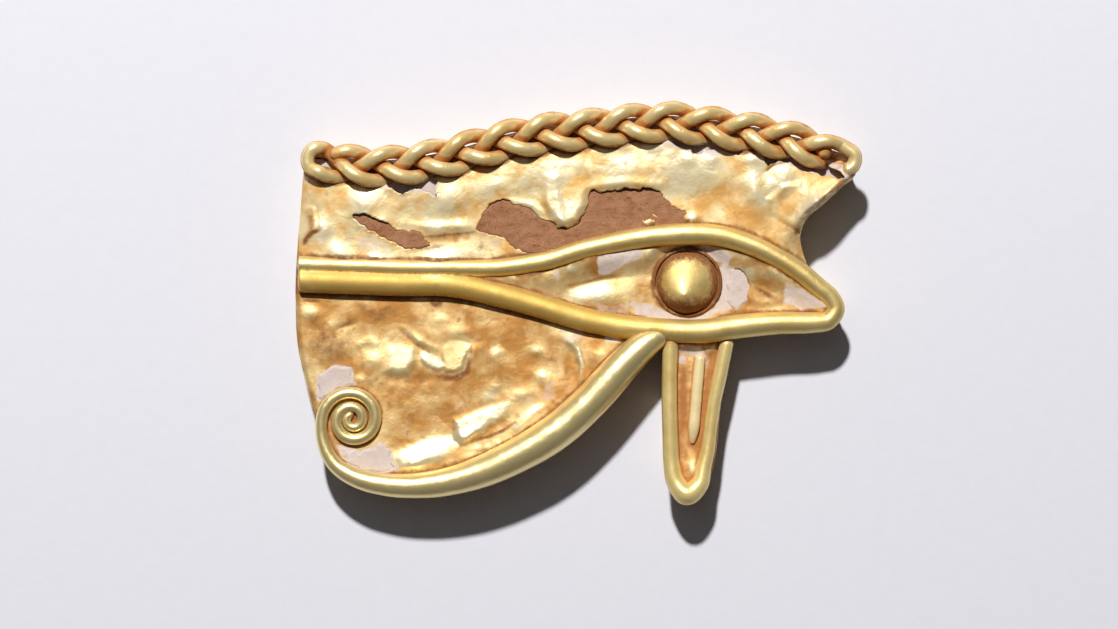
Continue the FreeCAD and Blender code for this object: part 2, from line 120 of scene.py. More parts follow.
def lumps(x, y, size, seed, octaves=3):
    # soft noise between about -0.5 and 0.5, whose lumps are as wide as size
    total = np.zeros(np.shape(x))
    weight = 0
    for octave in range(octaves):
        lattice = np.random.default_rng(seed * 31 + octave).random((latticeSize, latticeSize))
        scale = 2.0**octave / size
        u, v = np.asarray(x) * scale + noiseStart[0], np.asarray(y) * scale + noiseStart[1]
        i, j = np.floor(u).astype(int), np.floor(v).astype(int)
        u, v = u - i, v - j
        u, v = (t * t * t * (t * (t * 6 - 15) + 10) for t in (u, v))
        i, j, iNext, jNext = (number % latticeSize for number in (i, j, i + 1, j + 1))
        low = lattice[i, j] * (1 - u) + lattice[iNext, j] * u
        high = lattice[i, jNext] * (1 - u) + lattice[iNext, jNext] * u
        total += (low * (1 - v) + high * v) * 0.5**octave
        weight += 0.5**octave
    return total / weight - 0.5


def nearestOn(points, x, y):
    # distance to a polyline, and how far along it the nearest place lies, from 0 to 1
    run = runLength(points)
    best = np.full(np.shape(x), 1e9)
    along = np.zeros(np.shape(x))
    for (ax, ay), (bx, by), start, reach in zip(points, points[1:], run, np.diff(run)):
        t = np.clip(((x - ax) * (bx - ax) + (y - ay) * (by - ay)) / max(reach * reach, 1e-12), 0, 1)
        away = np.hypot(x - ax - t * (bx - ax), y - ay - t * (by - ay))
        nearer = away < best
        best = np.where(nearer, away, best)
        along = np.where(nearer, (start + t * reach) / run[-1], along)
    return best, along


def outlineDistance(polygon, x, y):
    # signed distance to a closed outline, negative inside it
    closed = np.vstack([polygon, polygon[:1]])
    away = nearestOn(closed, x, y)[0]
    inside = np.zeros(np.shape(x), bool)
    for (ax, ay), (bx, by) in zip(closed, closed[1:]):
        if ay != by:
            inside ^= ((ay > y) != (by > y)) & (x < (bx - ax) * (y - ay) / (by - ay) + ax)
    return np.where(inside, -away, away)


def kdTree(points):
    tree = KDTree(len(points))
    for index, point in enumerate(points):
        tree.insert(point, index)
    tree.balance()
    return tree


def flatTree(points):
    return kdTree([(point[0], point[1], 0) for point in points])


def addObject(name, data):
    made = bpy.data.objects.new(name, data)
    bpy.context.scene.collection.objects.link(made)
    return made


# Meshes are given in millimetres.
def makeObject(name, places, faces, material, values=None):
    mesh = bpy.data.meshes.new(name)
    mesh.from_pydata((np.asarray(places) * mm).tolist(), [], faces)
    mesh.materials.append(material)
    mesh.shade_smooth()
    mesh.update()
    made = addObject(name, mesh)
    for attribute, numbers in (values or {}).items():
        setValues(made, attribute, numbers)
    return made


def setValues(made, attribute, numbers):
    layer = made.data.attributes.get(attribute) or made.data.attributes.new(attribute, "FLOAT", "POINT")
    layer.data.foreach_set("value", np.asarray(numbers, np.float32))


def placesOf(made):
    flat = np.zeros(len(made.data.vertices) * 3)
    made.data.vertices.foreach_get("co", flat)
    return flat.reshape(-1, 3) / mm


def applied(made):
    # the object with its modifiers made part of its mesh
    bpy.context.view_layer.update()
    graph = bpy.context.evaluated_depsgraph_get()
    shape = made.evaluated_get(graph)
    mesh = bpy.data.meshes.new_from_object(shape, preserve_all_data_layers=True, depsgraph=graph)
    mesh.name = made.name
    made.modifiers.clear()
    made.data = mesh
    return made


def finishPiece(made, slot, *nodes):
    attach(made, "root")
    if nodes:
        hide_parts(*nodes)
    print("made", made.name, len(made.data.vertices), "points", len(made.data.polygons), "faces")
    return made


# Nodes, for materials and for shapes.
def plug(tree, socket, source):
    # links the socket to another one, or sets its own value
    if isinstance(source, bpy.types.NodeSocket):
        tree.links.new(source, socket)
    elif socket.type == "RGBA":
        socket.default_value = (*source, 1)
    else:
        socket.default_value = source


def addNode(tree, kind, links=(), **settings):
    node = tree.nodes.new(kind)
    for key, value in settings.items():
        setattr(node, key, value)
    for socket, source in dict(links).items():
        plug(tree, node.inputs[socket], source)
    return node


def addStep(tree, kind, links=(), **settings):
    # a node of which only the first output is used
    return addNode(tree, kind, links, **settings).outputs[0]


def calc(tree, operation, first, second=0.0, clamp=False):
    return addStep(tree, "ShaderNodeMath", {0: first, 1: second}, operation=operation, use_clamp=clamp)


def centred(tree, value, amount):
    # noise moved to swing round zero, by half the amount either way
    return calc(tree, "MULTIPLY", calc(tree, "SUBTRACT", value, 0.5), amount)


def blend(tree, share, first, second):
    kept = calc(tree, "MULTIPLY", first, calc(tree, "SUBTRACT", 1.0, share))
    return calc(tree, "ADD", kept, calc(tree, "MULTIPLY", second, share))


def ramp(tree, value, low, high, lowOut=0.0, highOut=1.0):
    links = {0: value, 1: low, 2: high, 3: lowOut, 4: highOut}
    return addStep(tree, "ShaderNodeMapRange", links, interpolation_type="SMOOTHSTEP")


def mixColor(tree, share, first, second):
    return addNode(tree, "ShaderNodeMix", {0: share, 6: first, 7: second}, data_type="RGBA").outputs[2]


def inMillimetres(tree):
    place = addNode(tree, "ShaderNodeTexCoord").outputs["Object"]
    return addStep(tree, "ShaderNodeMapping", {0: place, "Scale": (1000, 1000, 1000)})


def noise(tree, place, scale, detail=3.0, roughness=0.55, distortion=0.0):
    return addStep(tree, "ShaderNodeTexNoise", {
        "Vector": place, "Scale": scale, "Detail": detail, "Roughness": roughness, "Distortion": distortion,
    })


# The groups that several materials use. An input whose value has three numbers is a colour.
def shaderGroup(name, inputs, outputs):
    group = bpy.data.node_groups.new(name, "ShaderNodeTree")
    for label, value in inputs.items():
        isColor = isinstance(value, tuple)
        kind = "NodeSocketColor" if isColor else "NodeSocketFloat"
        socket = group.interface.new_socket(label, in_out="INPUT", socket_type=kind)
        socket.default_value = (*value, 1) if isColor else value
    for label in outputs:
        kind = "NodeSocketColor" if label == "Color" else "NodeSocketFloat"
        group.interface.new_socket(label, in_out="OUTPUT", socket_type=kind)
    return group, group.nodes.new("NodeGroupInput").outputs


def closeGroup(group, results):
    last = group.nodes.new("NodeGroupOutput")
    for label, source in results.items():
        plug(group, last.inputs[label], source)
    return group


def creviceDirtAndShade():
    # red-brown colour in the crevices, broken up by noise; it is real dirt and painted shade together
    group, given = shaderGroup("crevice_dirt_and_shade", {
        "Grime And Shade": 0.0, "Clean": (0.8, 0.6, 0.25), "Dirt": (0.25, 0.08, 0.02), "Clean Roughness": 0.3,
        "Dirt Roughness": 0.8, "Break Up": 6.0, "Bare Metal": 0.9,
    }, ("Color", "Roughness", "Metallic"))
    place = inMillimetres(group)
    loose = centred(group, noise(group, place, given["Break Up"], 5.0, 0.65), 1.1)
    spread = calc(group, "MULTIPLY", loose, ramp(group, given["Grime And Shade"], 0.0, 0.35))
    mask = ramp(group, calc(group, "ADD", given["Grime And Shade"], spread), 0.10, 0.85)
    uneven = centred(group, noise(group, place, 2.2, 4.0), 0.22)
    clean = calc(group, "ADD", given["Clean Roughness"], uneven)
    bare = calc(group, "SUBTRACT", 1.0, calc(group, "MULTIPLY", mask, 0.85))
    return closeGroup(group, {
        "Color": mixColor(group, mask, given["Clean"], given["Dirt"]),
        "Roughness": blend(group, mask, clean, given["Dirt Roughness"]),
        "Metallic": calc(group, "MULTIPLY", bare, given["Bare Metal"]),
    })


def chalkyBloom():
    # a pale matt bloom of plaster on the metal, with a ragged edge
    group, given = shaderGroup("chalky_bloom", {
        "Amount": 0.0, "Color": (0.8, 0.6, 0.25), "Roughness": 0.5, "Metallic": 1.0,
        "Chalk": (0.75, 0.66, 0.63), "Chalk Edge": 2.4,
    }, ("Color", "Roughness", "Metallic"))
    place = inMillimetres(group)
    ragged = noise(group, place, given["Chalk Edge"], 5.0, 0.65)
    spread = centred(group, ragged, ramp(group, given["Amount"], 0.0, 0.3))
    mask = ramp(group, calc(group, "ADD", given["Amount"], spread), 0.25, 0.75)
    mottle = ramp(group, noise(group, place, 5.0, 4.0, 0.6), 0.3, 0.75)
    chalk = mixColor(group, mottle, given["Chalk"], (0.70, 0.55, 0.44))
    return closeGroup(group, {
        "Color": mixColor(group, mask, given["Color"], chalk),
        "Roughness": blend(group, mask, given["Roughness"], 0.85),
        "Metallic": blend(group, mask, given["Metallic"], 0.0),
    })


def beatenSkin():
    # soft dents, fine wrinkles, grit and long scratches, as a height in millimetres
    group, given = shaderGroup("beaten_skin", {
        "Dent Size": 1.0, "Dent Depth": 0.02, "Wrinkle Size": 0.25, "Wrinkle Depth": 0.006,
        "Grit Depth": 0.002, "Scratch Depth": 0.002,
    }, ("Height",))
    place = inMillimetres(group)
    dents = noise(group, place, calc(group, "DIVIDE", 1.0, given["Dent Size"]), 2.0, 0.5, 0.3)
    wrinkles = noise(group, place, calc(group, "DIVIDE", 1.0, given["Wrinkle Size"]), 3.0, 0.6, 0.6)
    ridged = calc(group, "ABSOLUTE", calc(group, "SUBTRACT", calc(group, "MULTIPLY", wrinkles, 2.0), 1.0))
    grit = noise(group, place, 24.0, 2.0)
    stretched = addStep(group, "ShaderNodeMapping", {0: place, "Rotation": (0, 0, 0.6), "Scale": (9, 0.7, 9)})
    scratches = ramp(group, noise(group, stretched, 1.6, 3.0, 0.7), 0.58, 0.72)
    height = calc(group, "MULTIPLY", dents, given["Dent Depth"])
    for operation, pattern, depth in (
        ("SUBTRACT", ridged, "Wrinkle Depth"), ("ADD", grit, "Grit Depth"),
        ("SUBTRACT", scratches, "Scratch Depth"),
    ):
        height = calc(group, operation, height, calc(group, "MULTIPLY", pattern, given[depth]))
    return closeGroup(group, {"Height": height})


def driftingTone():
    # two tones of one finish that drift into each other
    group, given = shaderGroup("drifting_tone", {
        "Bright": (1, 1, 1), "Warm": (0, 0, 0), "Tone Size": 1.0, "Tone Contrast": 0.5, "Bias": 0.0,
    }, ("Color",))
    scale = calc(group, "DIVIDE", 1.0, given["Tone Size"])
    field = noise(group, inMillimetres(group), scale, 5.0, 0.6, 0.4)
    away = centred(group, field, calc(group, "MULTIPLY", given["Tone Contrast"], 4.0))
    share = calc(group, "ADD", calc(group, "ADD", away, 0.5), given["Bias"], clamp=True)
    return closeGroup(group, {"Color": mixColor(group, share, given["Bright"], given["Warm"])})


dirtShadeGroup, bloomGroup, skinGroup, toneGroup = creviceDirtAndShade(), chalkyBloom(), beatenSkin(), driftingTone()


def fromFinish(finish, *labels):
    # an input such as "Dent Size" takes the finish's value dentSize
    return {label: finish[label[0].lower() + label[1:].replace(" ", "")] for label in labels}


def placeGroup(tree, group, links):
    return addNode(tree, "ShaderNodeGroup", links, node_tree=group).outputs


def startMaterial(name, specular=0.5):
    material = bpy.data.materials.new(name)
    material.use_nodes = True
    shader = material.node_tree.nodes["Principled BSDF"]
    shader.inputs["Specular IOR Level"].default_value = specular
    return material, material.node_tree, shader


def feed(tree, shader, color, roughness, metallic, height):
    # a number goes straight onto the shader's socket, and a pattern is linked to it
    bumped = addStep(tree, "ShaderNodeBump", {"Height": height, "Strength": 1.0, "Distance": mm})
    sources = {"Base Color": color, "Roughness": roughness, "Metallic": metallic, "Normal": bumped}
    for name, source in sources.items():
        plug(tree, shader.inputs[name], source)


# the rubbed colour is the pale colour of wear and also a painted highlight
sheenAndWearFrom, sheenAndWearFull = -0.25, -0.58      # between these values of "dull" the rubbed colour comes in


def goldMaterial(name, finish):
    material, tree, shader = startMaterial(name)
    grimeAndShade, dull, chalk = (
        addNode(tree, "ShaderNodeAttribute", attribute_name=attribute).outputs["Fac"]
        for attribute in ("grimeAndShade", "dull", "chalk")
    )
    tone = placeGroup(tree, toneGroup, {
        "Bias": dull, **fromFinish(finish, "Bright", "Warm", "Tone Size", "Tone Contrast"),
    })
    # where it is rubbed, and where a painted highlight lies, it is pale and smoother, and dull metal is
    # rougher
    sheenAndWear = ramp(tree, dull, sheenAndWearFrom, sheenAndWearFull, 0.0, finish["sheenAndWearShare"])
    clean = mixColor(tree, sheenAndWear, tone["Color"], finish["sheenAndWear"])
    rough = calc(tree, "ADD", calc(tree, "MULTIPLY", dull, finish["dullRoughness"]), finish["roughness"])
    dirtShadeMix = placeGroup(tree, dirtShadeGroup, {
        "Grime And Shade": grimeAndShade, "Clean": clean, "Clean Roughness": rough,
        **fromFinish(finish, "Dirt", "Break Up", "Bare Metal"),
    })
    passed = {name: dirtShadeMix[name] for name in ("Color", "Roughness", "Metallic")}
    bloom = placeGroup(tree, bloomGroup, {"Amount": chalk, **passed, **fromFinish(finish, "Chalk")})
    skin = placeGroup(tree, skinGroup, fromFinish(
        finish, "Dent Size", "Dent Depth", "Wrinkle Size", "Wrinkle Depth", "Grit Depth", "Scratch Depth"))
    feed(tree, shader, bloom["Color"], bloom["Roughness"], bloom["Metallic"], skin["Height"])
    return material


# Finishes of the gold. Sizes and depths are in millimetres. The rubbed colour is wear and a painted
# highlight together, and the dirt colour also paints shade in the crevices.
anyFinish = {"chalk": (0.75, 0.66, 0.63), "gritDepth": 0.003}
wireFinish = {
    **anyFinish,
    "bright": (0.94, 0.76, 0.35), "warm": (0.74, 0.50, 0.14), "toneSize": 1.8, "toneContrast": 0.35,
    "sheenAndWear": (0.97, 0.80, 0.40), "sheenAndWearShare": 0.6,
    "dirt": (0.26, 0.09, 0.02), "roughness": 0.50, "dullRoughness": 0.25, "bareMetal": 0.72, "breakUp": 5.0,
    "dentSize": 0.9, "dentDepth": 0.03, "wrinkleSize": 0.3, "wrinkleDepth": 0.004, "scratchDepth": 0.003,
}
foilFinish = {
    **anyFinish,
    "bright": (0.97, 0.79, 0.44), "warm": (0.80, 0.46, 0.14), "toneSize": 0.8, "toneContrast": 0.85,
    "sheenAndWear": (0.99, 0.85, 0.55), "sheenAndWearShare": 0.9,
    "dirt": (0.27, 0.10, 0.03), "roughness": 0.60, "dullRoughness": 0.35, "bareMetal": 0.37, "breakUp": 3.2,
    "dentSize": 0.7, "dentDepth": 0.05, "wrinkleSize": 0.34, "wrinkleDepth": 0.012, "scratchDepth": 0.002,
}
sheetFinish = {
    **anyFinish,
    "bright": (0.88, 0.66, 0.28), "warm": (0.64, 0.40, 0.13), "toneSize": 2.6, "toneContrast": 0.5,
    "sheenAndWear": (0.95, 0.80, 0.48), "sheenAndWearShare": 0.5,
    "dirt": (0.22, 0.085, 0.02), "roughness": 0.50, "dullRoughness": 0.25, "bareMetal": 0.86, "breakUp": 2.4,
    "dentSize": 1.6, "dentDepth": 0.10, "wrinkleSize": 0.5, "wrinkleDepth": 0.010, "scratchDepth": 0.008,
}
# the thin wires are more worn, with more of the pale colour that is partly a painted highlight, and their
# crevices, dirt and painted shade, are orange rather than brown
thinWireFinish = {
    **wireFinish,
    "bright": (0.97, 0.71, 0.29), "warm": (0.84, 0.49, 0.14), "toneSize": 1.2, "toneContrast": 0.6,
    "sheenAndWear": (0.99, 0.84, 0.48), "sheenAndWearShare": 0.8,
    "dirt": (0.50, 0.20, 0.045), "roughness": 0.42, "bareMetal": 0.44, "breakUp": 2.5,
}
# the drop's wires are paler still
dropWireFinish = {
    **thinWireFinish,
    "bright": (0.97, 0.78, 0.35), "warm": (0.80, 0.56, 0.18), "bareMetal": 0.42,
}
# the rib is painted paler and less metallic than the other wires, a painted highlight along it
ribFinish = {
    **thinWireFinish,
    "bright": (0.99, 0.74, 0.38), "warm": (0.96, 0.60, 0.25), "bareMetal": 0.15,
}
# the foils under the brow are browner, and the one of the drop most of all
cheekFinish = {
    **foilFinish,
    "bright": (0.95, 0.74, 0.37), "warm": (0.60, 0.30, 0.08), "toneSize": 1.5, "dirt": (0.28, 0.105, 0.03),
    "bareMetal": 0.58,
}
dropFinish = {
    **foilFinish,
    "bright": (0.90, 0.60, 0.26), "warm": (0.58, 0.27, 0.07), "dirt": (0.46, 0.19, 0.05), "bareMetal": 0.58,
}
wireGold = goldMaterial("wire_gold_burnished_sheen", wireFinish)
thinWireGold = goldMaterial("wire_gold_worn_sheen", thinWireFinish)
dropWireGold = goldMaterial("wire_gold_pale", dropWireFinish)
ribGold = goldMaterial("wire_gold_painted_bright", ribFinish)
foilGold = goldMaterial("foil_gold_crumpled", foilFinish)
cheekGold = goldMaterial("foil_gold_stained", cheekFinish)
dropGold = goldMaterial("foil_gold_brown", dropFinish)
sheetGold = goldMaterial("sheet_gold_beaten", sheetFinish)

# The core and the plaster. A stain is its noise, the values it comes in between, its share and its colour.
coreFinish = {
    "bright": (0.47, 0.235, 0.130), "warm": (0.34, 0.145, 0.065), "toneSize": 0.6, "toneContrast": 0.6,
    "stains": [
        ((5.0, 4.0, 0.7), (0.60, 0.74), 0.4, (0.66, 0.45, 0.33)),
        ((3.0, 5.0, 0.7, 0.5), (0.62, 0.78), 0.6, (0.15, 0.05, 0.025))],
    "grain": (9.0, 6.0, 0.75), "grainDepth": 0.05, "roughness": (0.95, 0.75), "specular": 0.25,
}
plasterFinish = {
    "bright": (0.74, 0.65, 0.64), "warm": (0.67, 0.54, 0.47), "toneSize": 0.8, "toneContrast": 0.5,
    "stains": [((2.2, 5.0, 0.7, 0.6), (0.58, 0.76), 0.5, (0.45, 0.27, 0.13))],
    "grain": (11.0, 5.0, 0.7), "grainDepth": 0.03, "roughness": (0.95, 0.8), "specular": 0.3,
}


def fillingMaterial(name, finish):
    material, tree, shader = startMaterial(name, finish["specular"])
    place = inMillimetres(tree)
    tone = fromFinish(finish, "Bright", "Warm", "Tone Size", "Tone Contrast")
    color = placeGroup(tree, toneGroup, {**tone, "Bias": 0.0})["Color"]
    for pattern, (low, high), share, tint in finish["stains"]:
        stain = ramp(tree, noise(tree, place, *pattern), low, high)
        color = mixColor(tree, calc(tree, "MULTIPLY", stain, share), color, tint)
    grain = noise(tree, place, *finish["grain"])
    height = calc(tree, "MULTIPLY", grain, finish["grainDepth"])
    feed(tree, shader, color, ramp(tree, grain, 0.3, 0.7, *finish["roughness"]), 0.0, height)
    return material


coreBrown = fillingMaterial("core_packed_brown", coreFinish)
plasterPale = fillingMaterial("plaster_pale", plasterFinish)
print("materials made")

# The camera looks straight down, and the light comes from the photograph's upper edge. All in millimetres.
studio = {
    "look": (-0.83, -0.51, 1.5),                   # the middle of the photograph's frame
    "frameWide": 1118 * amulet["photoScale"],      # what the frame is wide at that height
    "lens": 100.0, "sensor": 36.0, "clipStart": 5.0,
    "lights": {      # the side it stands on, how far away, how wide, its watts and its colour
        "key_light": ((-0.12, 0.60, 0.79), 300.0, 18.0, 1.07, (1.0, 0.975, 0.93)),
        "panel_light": ((-0.15, 0.35, 0.92), 320.0, 190.0, 0.03, (0.93, 0.96, 1.0)),
    },
    "sky": (1.0, 0.97, 1.0), "skyStrength": 0.042,
    "paper": (0.80, 0.81, 0.90), "paperShade": 0.985, "paperHalf": 600, "paperTop": -0.01,
}
camera = addObject("camera", bpy.data.cameras.new("camera"))
camera.data.lens = studio["lens"]
camera.data.sensor_width = studio["sensor"]
camera.data.clip_start = studio["clipStart"] * mm
lookX, lookY, lookZ = studio["look"]
cameraHeight = lookZ + studio["frameWide"] * studio["lens"] / studio["sensor"]
camera.location = (lookX * mm, lookY * mm, cameraHeight * mm)
bpy.context.scene.camera = camera


def areaLight(name, side, away, wide, watts, color):
    light = addObject(name, bpy.data.lights.new(name, "AREA"))
    light.data.shape = "DISK"
    light.data.size = wide * mm
    light.data.energy = watts
    light.data.color = color
    direction = Vector(side).normalized()
    light.location = direction * away * mm
    light.rotation_euler = direction.to_track_quat("Z", "Y").to_euler()


for name, values in studio["lights"].items():
    areaLight(name, *values)
world = bpy.data.worlds.new("soft_sky")
world.use_nodes = True
background = world.node_tree.nodes["Background"]
background.inputs["Color"].default_value = (*studio["sky"], 1)
background.inputs["Strength"].default_value = studio["skyStrength"]
bpy.context.scene.world = world
bpy.context.scene.view_settings.view_transform = "Standard"


def paperFloor():
    material, tree, shader = startMaterial("paper_floor")
    fibres = noise(tree, inMillimetres(tree), 1.5, 6.0, 0.6)
    shade = tuple(studio["paperShade"] * value for value in studio["paper"])
    color = mixColor(tree, ramp(tree, fibres, 0.3, 0.7), studio["paper"], shade)
    feed(tree, shader, color, 0.9, 0.0, calc(tree, "MULTIPLY", fibres, 0.01))
    corners = [(x * studio["paperHalf"], y * studio["paperHalf"], studio["paperTop"])
               for x, y in ((-1, -1), (1, -1), (1, 1), (-1, 1))]
    makeObject("floor", corners, [(0, 1, 2, 3)], material)


paperFloor()
print("camera, lights and floor made")

# Outlines of the tray and the drop, as shares of the amulet's length and width.
trayTables = [
    [(-0.482, 0.375), (-0.413, 0.360), (-0.353, 0.353), (-0.270, 0.365), (-0.199, 0.388),
     (-0.134, 0.415), (-0.052, 0.438), (0.024, 0.450), (0.086, 0.458), (0.155, 0.465),
     (0.235, 0.453), (0.314, 0.435), (0.401, 0.403), (0.481, 0.360)],
    [(0.481, 0.360), (0.488, 0.328), (0.468, 0.296)],
    [(0.468, 0.296), (0.427, 0.243), (0.399, 0.208), (0.390, 0.166), (0.396, 0.121), (0.406, 0.086)],
    [(0.406, 0.086), (0.431, 0.046), (0.452, 0.014), (0.461, -0.016), (0.450, -0.046),
     (0.419, -0.064), (0.357, -0.069), (0.286, -0.076), (0.215, -0.089), (0.148, -0.094)],
    [(0.148, -0.094), (0.109, -0.158), (0.038, -0.263), (-0.033, -0.350), (-0.104, -0.405),
     (-0.192, -0.453), (-0.263, -0.470), (-0.346, -0.465), (-0.401, -0.443), (-0.435, -0.405),
     (-0.456, -0.338), (-0.468, -0.268), (-0.482, -0.193), (-0.495, -0.106), (-0.499, 0.006),
     (-0.497, 0.106), (-0.489, 0.253), (-0.482, 0.375)],
]
dropTables = [
    [(0.151, -0.097), (0.151, -0.343), (0.153, -0.393), (0.158, -0.428), (0.169, -0.468), (0.190, -0.493),
     (0.212, -0.483)],
    [(0.212, -0.483), (0.222, -0.460), (0.235, -0.418), (0.242, -0.365), (0.247, -0.296), (0.252, -0.241),
     (0.261, -0.183), (0.271, -0.097)],
]


class Outline:
    # a closed line that answers how far a place lies outside it, and which way is out
    def __init__(self, tables):
        stretches = [smoothPath(fromShares(table), 0.04)[:-1] for table in tables]
        self.points = np.vstack(stretches)
        turned = sum(np.cross(self.points, np.roll(self.points, -1, 0)))
        ahead = unit(np.roll(self.points, -1, 0) - np.roll(self.points, 1, 0))
        self.out = np.column_stack([ahead[:, 1], -ahead[:, 0]]) * (1 if turned > 0 else -1)
        self.tree = flatTree(self.points)

    def nearest(self, x, y):
        shape = np.shape(x)
        found = [self.tree.find((u, v, 0))[1] for u, v in zip(np.ravel(x), np.ravel(y))]
        place, out = self.points[found], self.out[found]
        reach = np.column_stack([np.ravel(x), np.ravel(y)]) - place
        along = (reach * out).sum(1)
        away = np.linalg.norm(reach, axis=1)
        sign = np.where(along >= 0, 1.0, -1.0)
        # close to the line the distance is read straight across it
        far = away > 0.1
        distance = np.where(far, away * sign, along)
        out = np.where(far[:, None], reach / np.maximum(away, 1e-9)[:, None] * sign[:, None], out)
        return distance.reshape(shape), out[:, 0].reshape(shape), out[:, 1].reshape(shape)


tray, drop = Outline(trayTables), Outline(dropTables)

# The wires. A table holds shares of the amulet's length and width and of the wire's thickness; the rest is in
# millimetres, except what runs from 0 to 1.
lidWire = {
    "upper": [
        (-0.495, 0.095, 0.70), (-0.404, 0.091, 0.71), (-0.316, 0.087, 0.73), (-0.227, 0.086, 0.75),
        (-0.139, 0.087, 0.77), (-0.104, 0.093, 0.78), (-0.050, 0.107, 0.80), (0.003, 0.130, 0.82),
        (0.073, 0.152, 0.86), (0.144, 0.167, 0.89), (0.197, 0.171, 0.90), (0.250, 0.166, 0.89),
        (0.295, 0.148, 0.87), (0.348, 0.113, 0.84), (0.392, 0.074, 0.82), (0.424, 0.036, 0.80)],
    "fold": [(0.443, 0.014, 0.77), (0.453, -0.016, 0.76), (0.440, -0.045, 0.78), (0.413, -0.050, 0.86)],
    "lower": [
        (0.357, -0.051, 0.94), (0.286, -0.059, 1.0), (0.215, -0.072, 1.0), (0.144, -0.069, 1.0),
        (0.073, -0.059, 1.0), (0.003, -0.039, 1.0), (-0.068, -0.009, 1.0), (-0.139, 0.019, 1.04)],
    "thick": 1.02, "armGap": -0.24, "armThick": 1.06, "tuck": 0.20,
    "tarnish": [(0.0, 0.0), (0.58, 0.0), (0.72, 0.55), (1.0, 0.6)], "touchGrimeAndShade": 0.35, "endRound": 0.25,
    "sides": 30, "step": 0.06, "hammerDepth": 0.040, "hammerSize": 1.3, "seed": 2.0,
}
cheekWire = {
    "stations": [
        (-0.452, -0.338, 0.35), (-0.430, -0.403, 0.43), (-0.396, -0.434, 0.53), (-0.342, -0.453, 0.62),
        (-0.263, -0.453, 0.73), (-0.181, -0.426, 0.86), (-0.118, -0.387, 0.95), (-0.050, -0.332, 1.0),
        (0.017, -0.251, 0.99), (0.083, -0.150, 0.91), (0.115, -0.107, 0.80), (0.155, -0.075, 0.50)],
    "thick": 1.53, "volute": (-0.399, -0.292), "tipRadius": 0.26, "growth": 0.42, "opening": 1.31,
    "turns": (-0.28, 2.0), "tipThick": 0.36, "voluteThick": 0.51, "touchGrimeAndShade": 0.45, "polishAndSheen": 0.62,
    "endRound": 0.8, "sides": 34, "step": 0.06, "hammerDepth": 0.045, "hammerSize": 1.2, "seed": 5.0,
}
plait = {
    "line": [
        (-0.452, 0.353), (-0.413, 0.343), (-0.353, 0.337), (-0.270, 0.350), (-0.199, 0.373), (-0.134, 0.399),
        (-0.052, 0.420), (0.024, 0.431), (0.086, 0.441), (0.155, 0.448), (0.235, 0.435), (0.314, 0.418),
        (0.401, 0.388), (0.466, 0.356)],
    "thick": 0.60, "swing": 0.60, "lift": 0.315, "bumps": 13, "level": 2.43, "hookFrom": math.radians(55),
    "hook": math.radians(75), "tailTaper": 0.18, "tailReach": 2.4, "startSink": 0.35, "tailRise": 0.05,
    "grimeAndShadeReach": 0.44, "lowerSideShade": 0.66, "polishAndSheen": 0.30, "endRound": 0.7,
    "sides": 20, "step": 0.05, "hammerDepth": 0.052, "hammerSize": 0.46, "seed": 8.0,
}
dropWires = {
    "border": [
        (0.163, -0.078, 0.66), (0.162, -0.343, 0.68), (0.164, -0.400, 0.70), (0.172, -0.450, 0.80),
        (0.191, -0.477, 0.95), (0.211, -0.456, 0.80), (0.221, -0.408, 0.66), (0.228, -0.365, 0.60),
        (0.234, -0.296, 0.58), (0.240, -0.241, 0.58), (0.249, -0.183, 0.60), (0.263, -0.088, 0.60)],
    "rib": [
        (0.2152, -0.130, 0.42), (0.2105, -0.194, 0.47), (0.2060, -0.269, 0.47), (0.2025, -0.324, 0.42),
        (0.2008, -0.352, 0.16)],
    "endRound": 0.9, "touchGrimeAndShade": 0.5, "polishAndSheen": 0.1, "sides": 24, "step": 0.05, "hammerDepth": 0.024,
    "hammerSize": 0.8, "seed": 11.0,
}
pupil = {
    "place": (0.192, 0.050), "radius": 1.33, "height": 0.94, "lean": (0.12, 0.40), "flatness": 1.42,
    "collarRadius": 1.46, "collarHeight": 0.16, "sides": 128, "seed": 21,
    "shoulder": 0.88, "rings": 44, "footRadius": 1.4, "footThick": 0.1, "collarSides": 160,
}


def seated(line):
    # x, y and thickness become x, y, the height of the wire's middle, and its radius
    return np.column_stack([line[:, :2], seat + line[:, 2] * (0.5 - amulet["sink"]), line[:, 2] / 2])


def lidPath():
    upper, fold, lower = (fromShares(lidWire[name]) for name in ("upper", "fold", "lower"))
    # the lower arm ends beside the upper one
    armThick = lidWire["armThick"]
    beside = []
    for x, y, share in upper[3::-1]:
        beside.append((x, y - (share + armThick) / 2 * lidWire["thick"] - lidWire["armGap"], armThick))
    line = np.vstack([upper, fold, lower, beside])
    line[:, 2] *= lidWire["thick"]
    path = seated(smoothPath(line, lidWire["step"]))
    # the lower arm lies deeper where the two arms lie side by side
    run = runLength(path[:, :2])
    path[:, 2] -= lidWire["tuck"] * smoothstep(0.60, 0.76, run / run[-1])
    return path


def cheekPath():
    centre = fromShares([cheekWire["volute"]])[0]
    first, last = cheekWire["turns"]
    turn = np.linspace(first, last, 60)
    opened = np.sign(turn) * np.abs(turn) ** cheekWire["opening"]
    radius = cheekWire["tipRadius"] + cheekWire["growth"] * opened
    angle = math.pi * (1 + 2 * turn)
    tipThick, voluteThick = cheekWire["tipThick"], cheekWire["voluteThick"]
    thick = tipThick + (voluteThick - tipThick) * smoothstep(first, last - 0.4, turn)
    coil = np.column_stack([centre[0] + radius * np.cos(angle), centre[1] + radius * np.sin(angle), thick])
    stations = fromShares(cheekWire["stations"])
    stations[:, 2] *= cheekWire["thick"]
    return seated(smoothPath(np.vstack([coil, stations]), cheekWire["step"]))


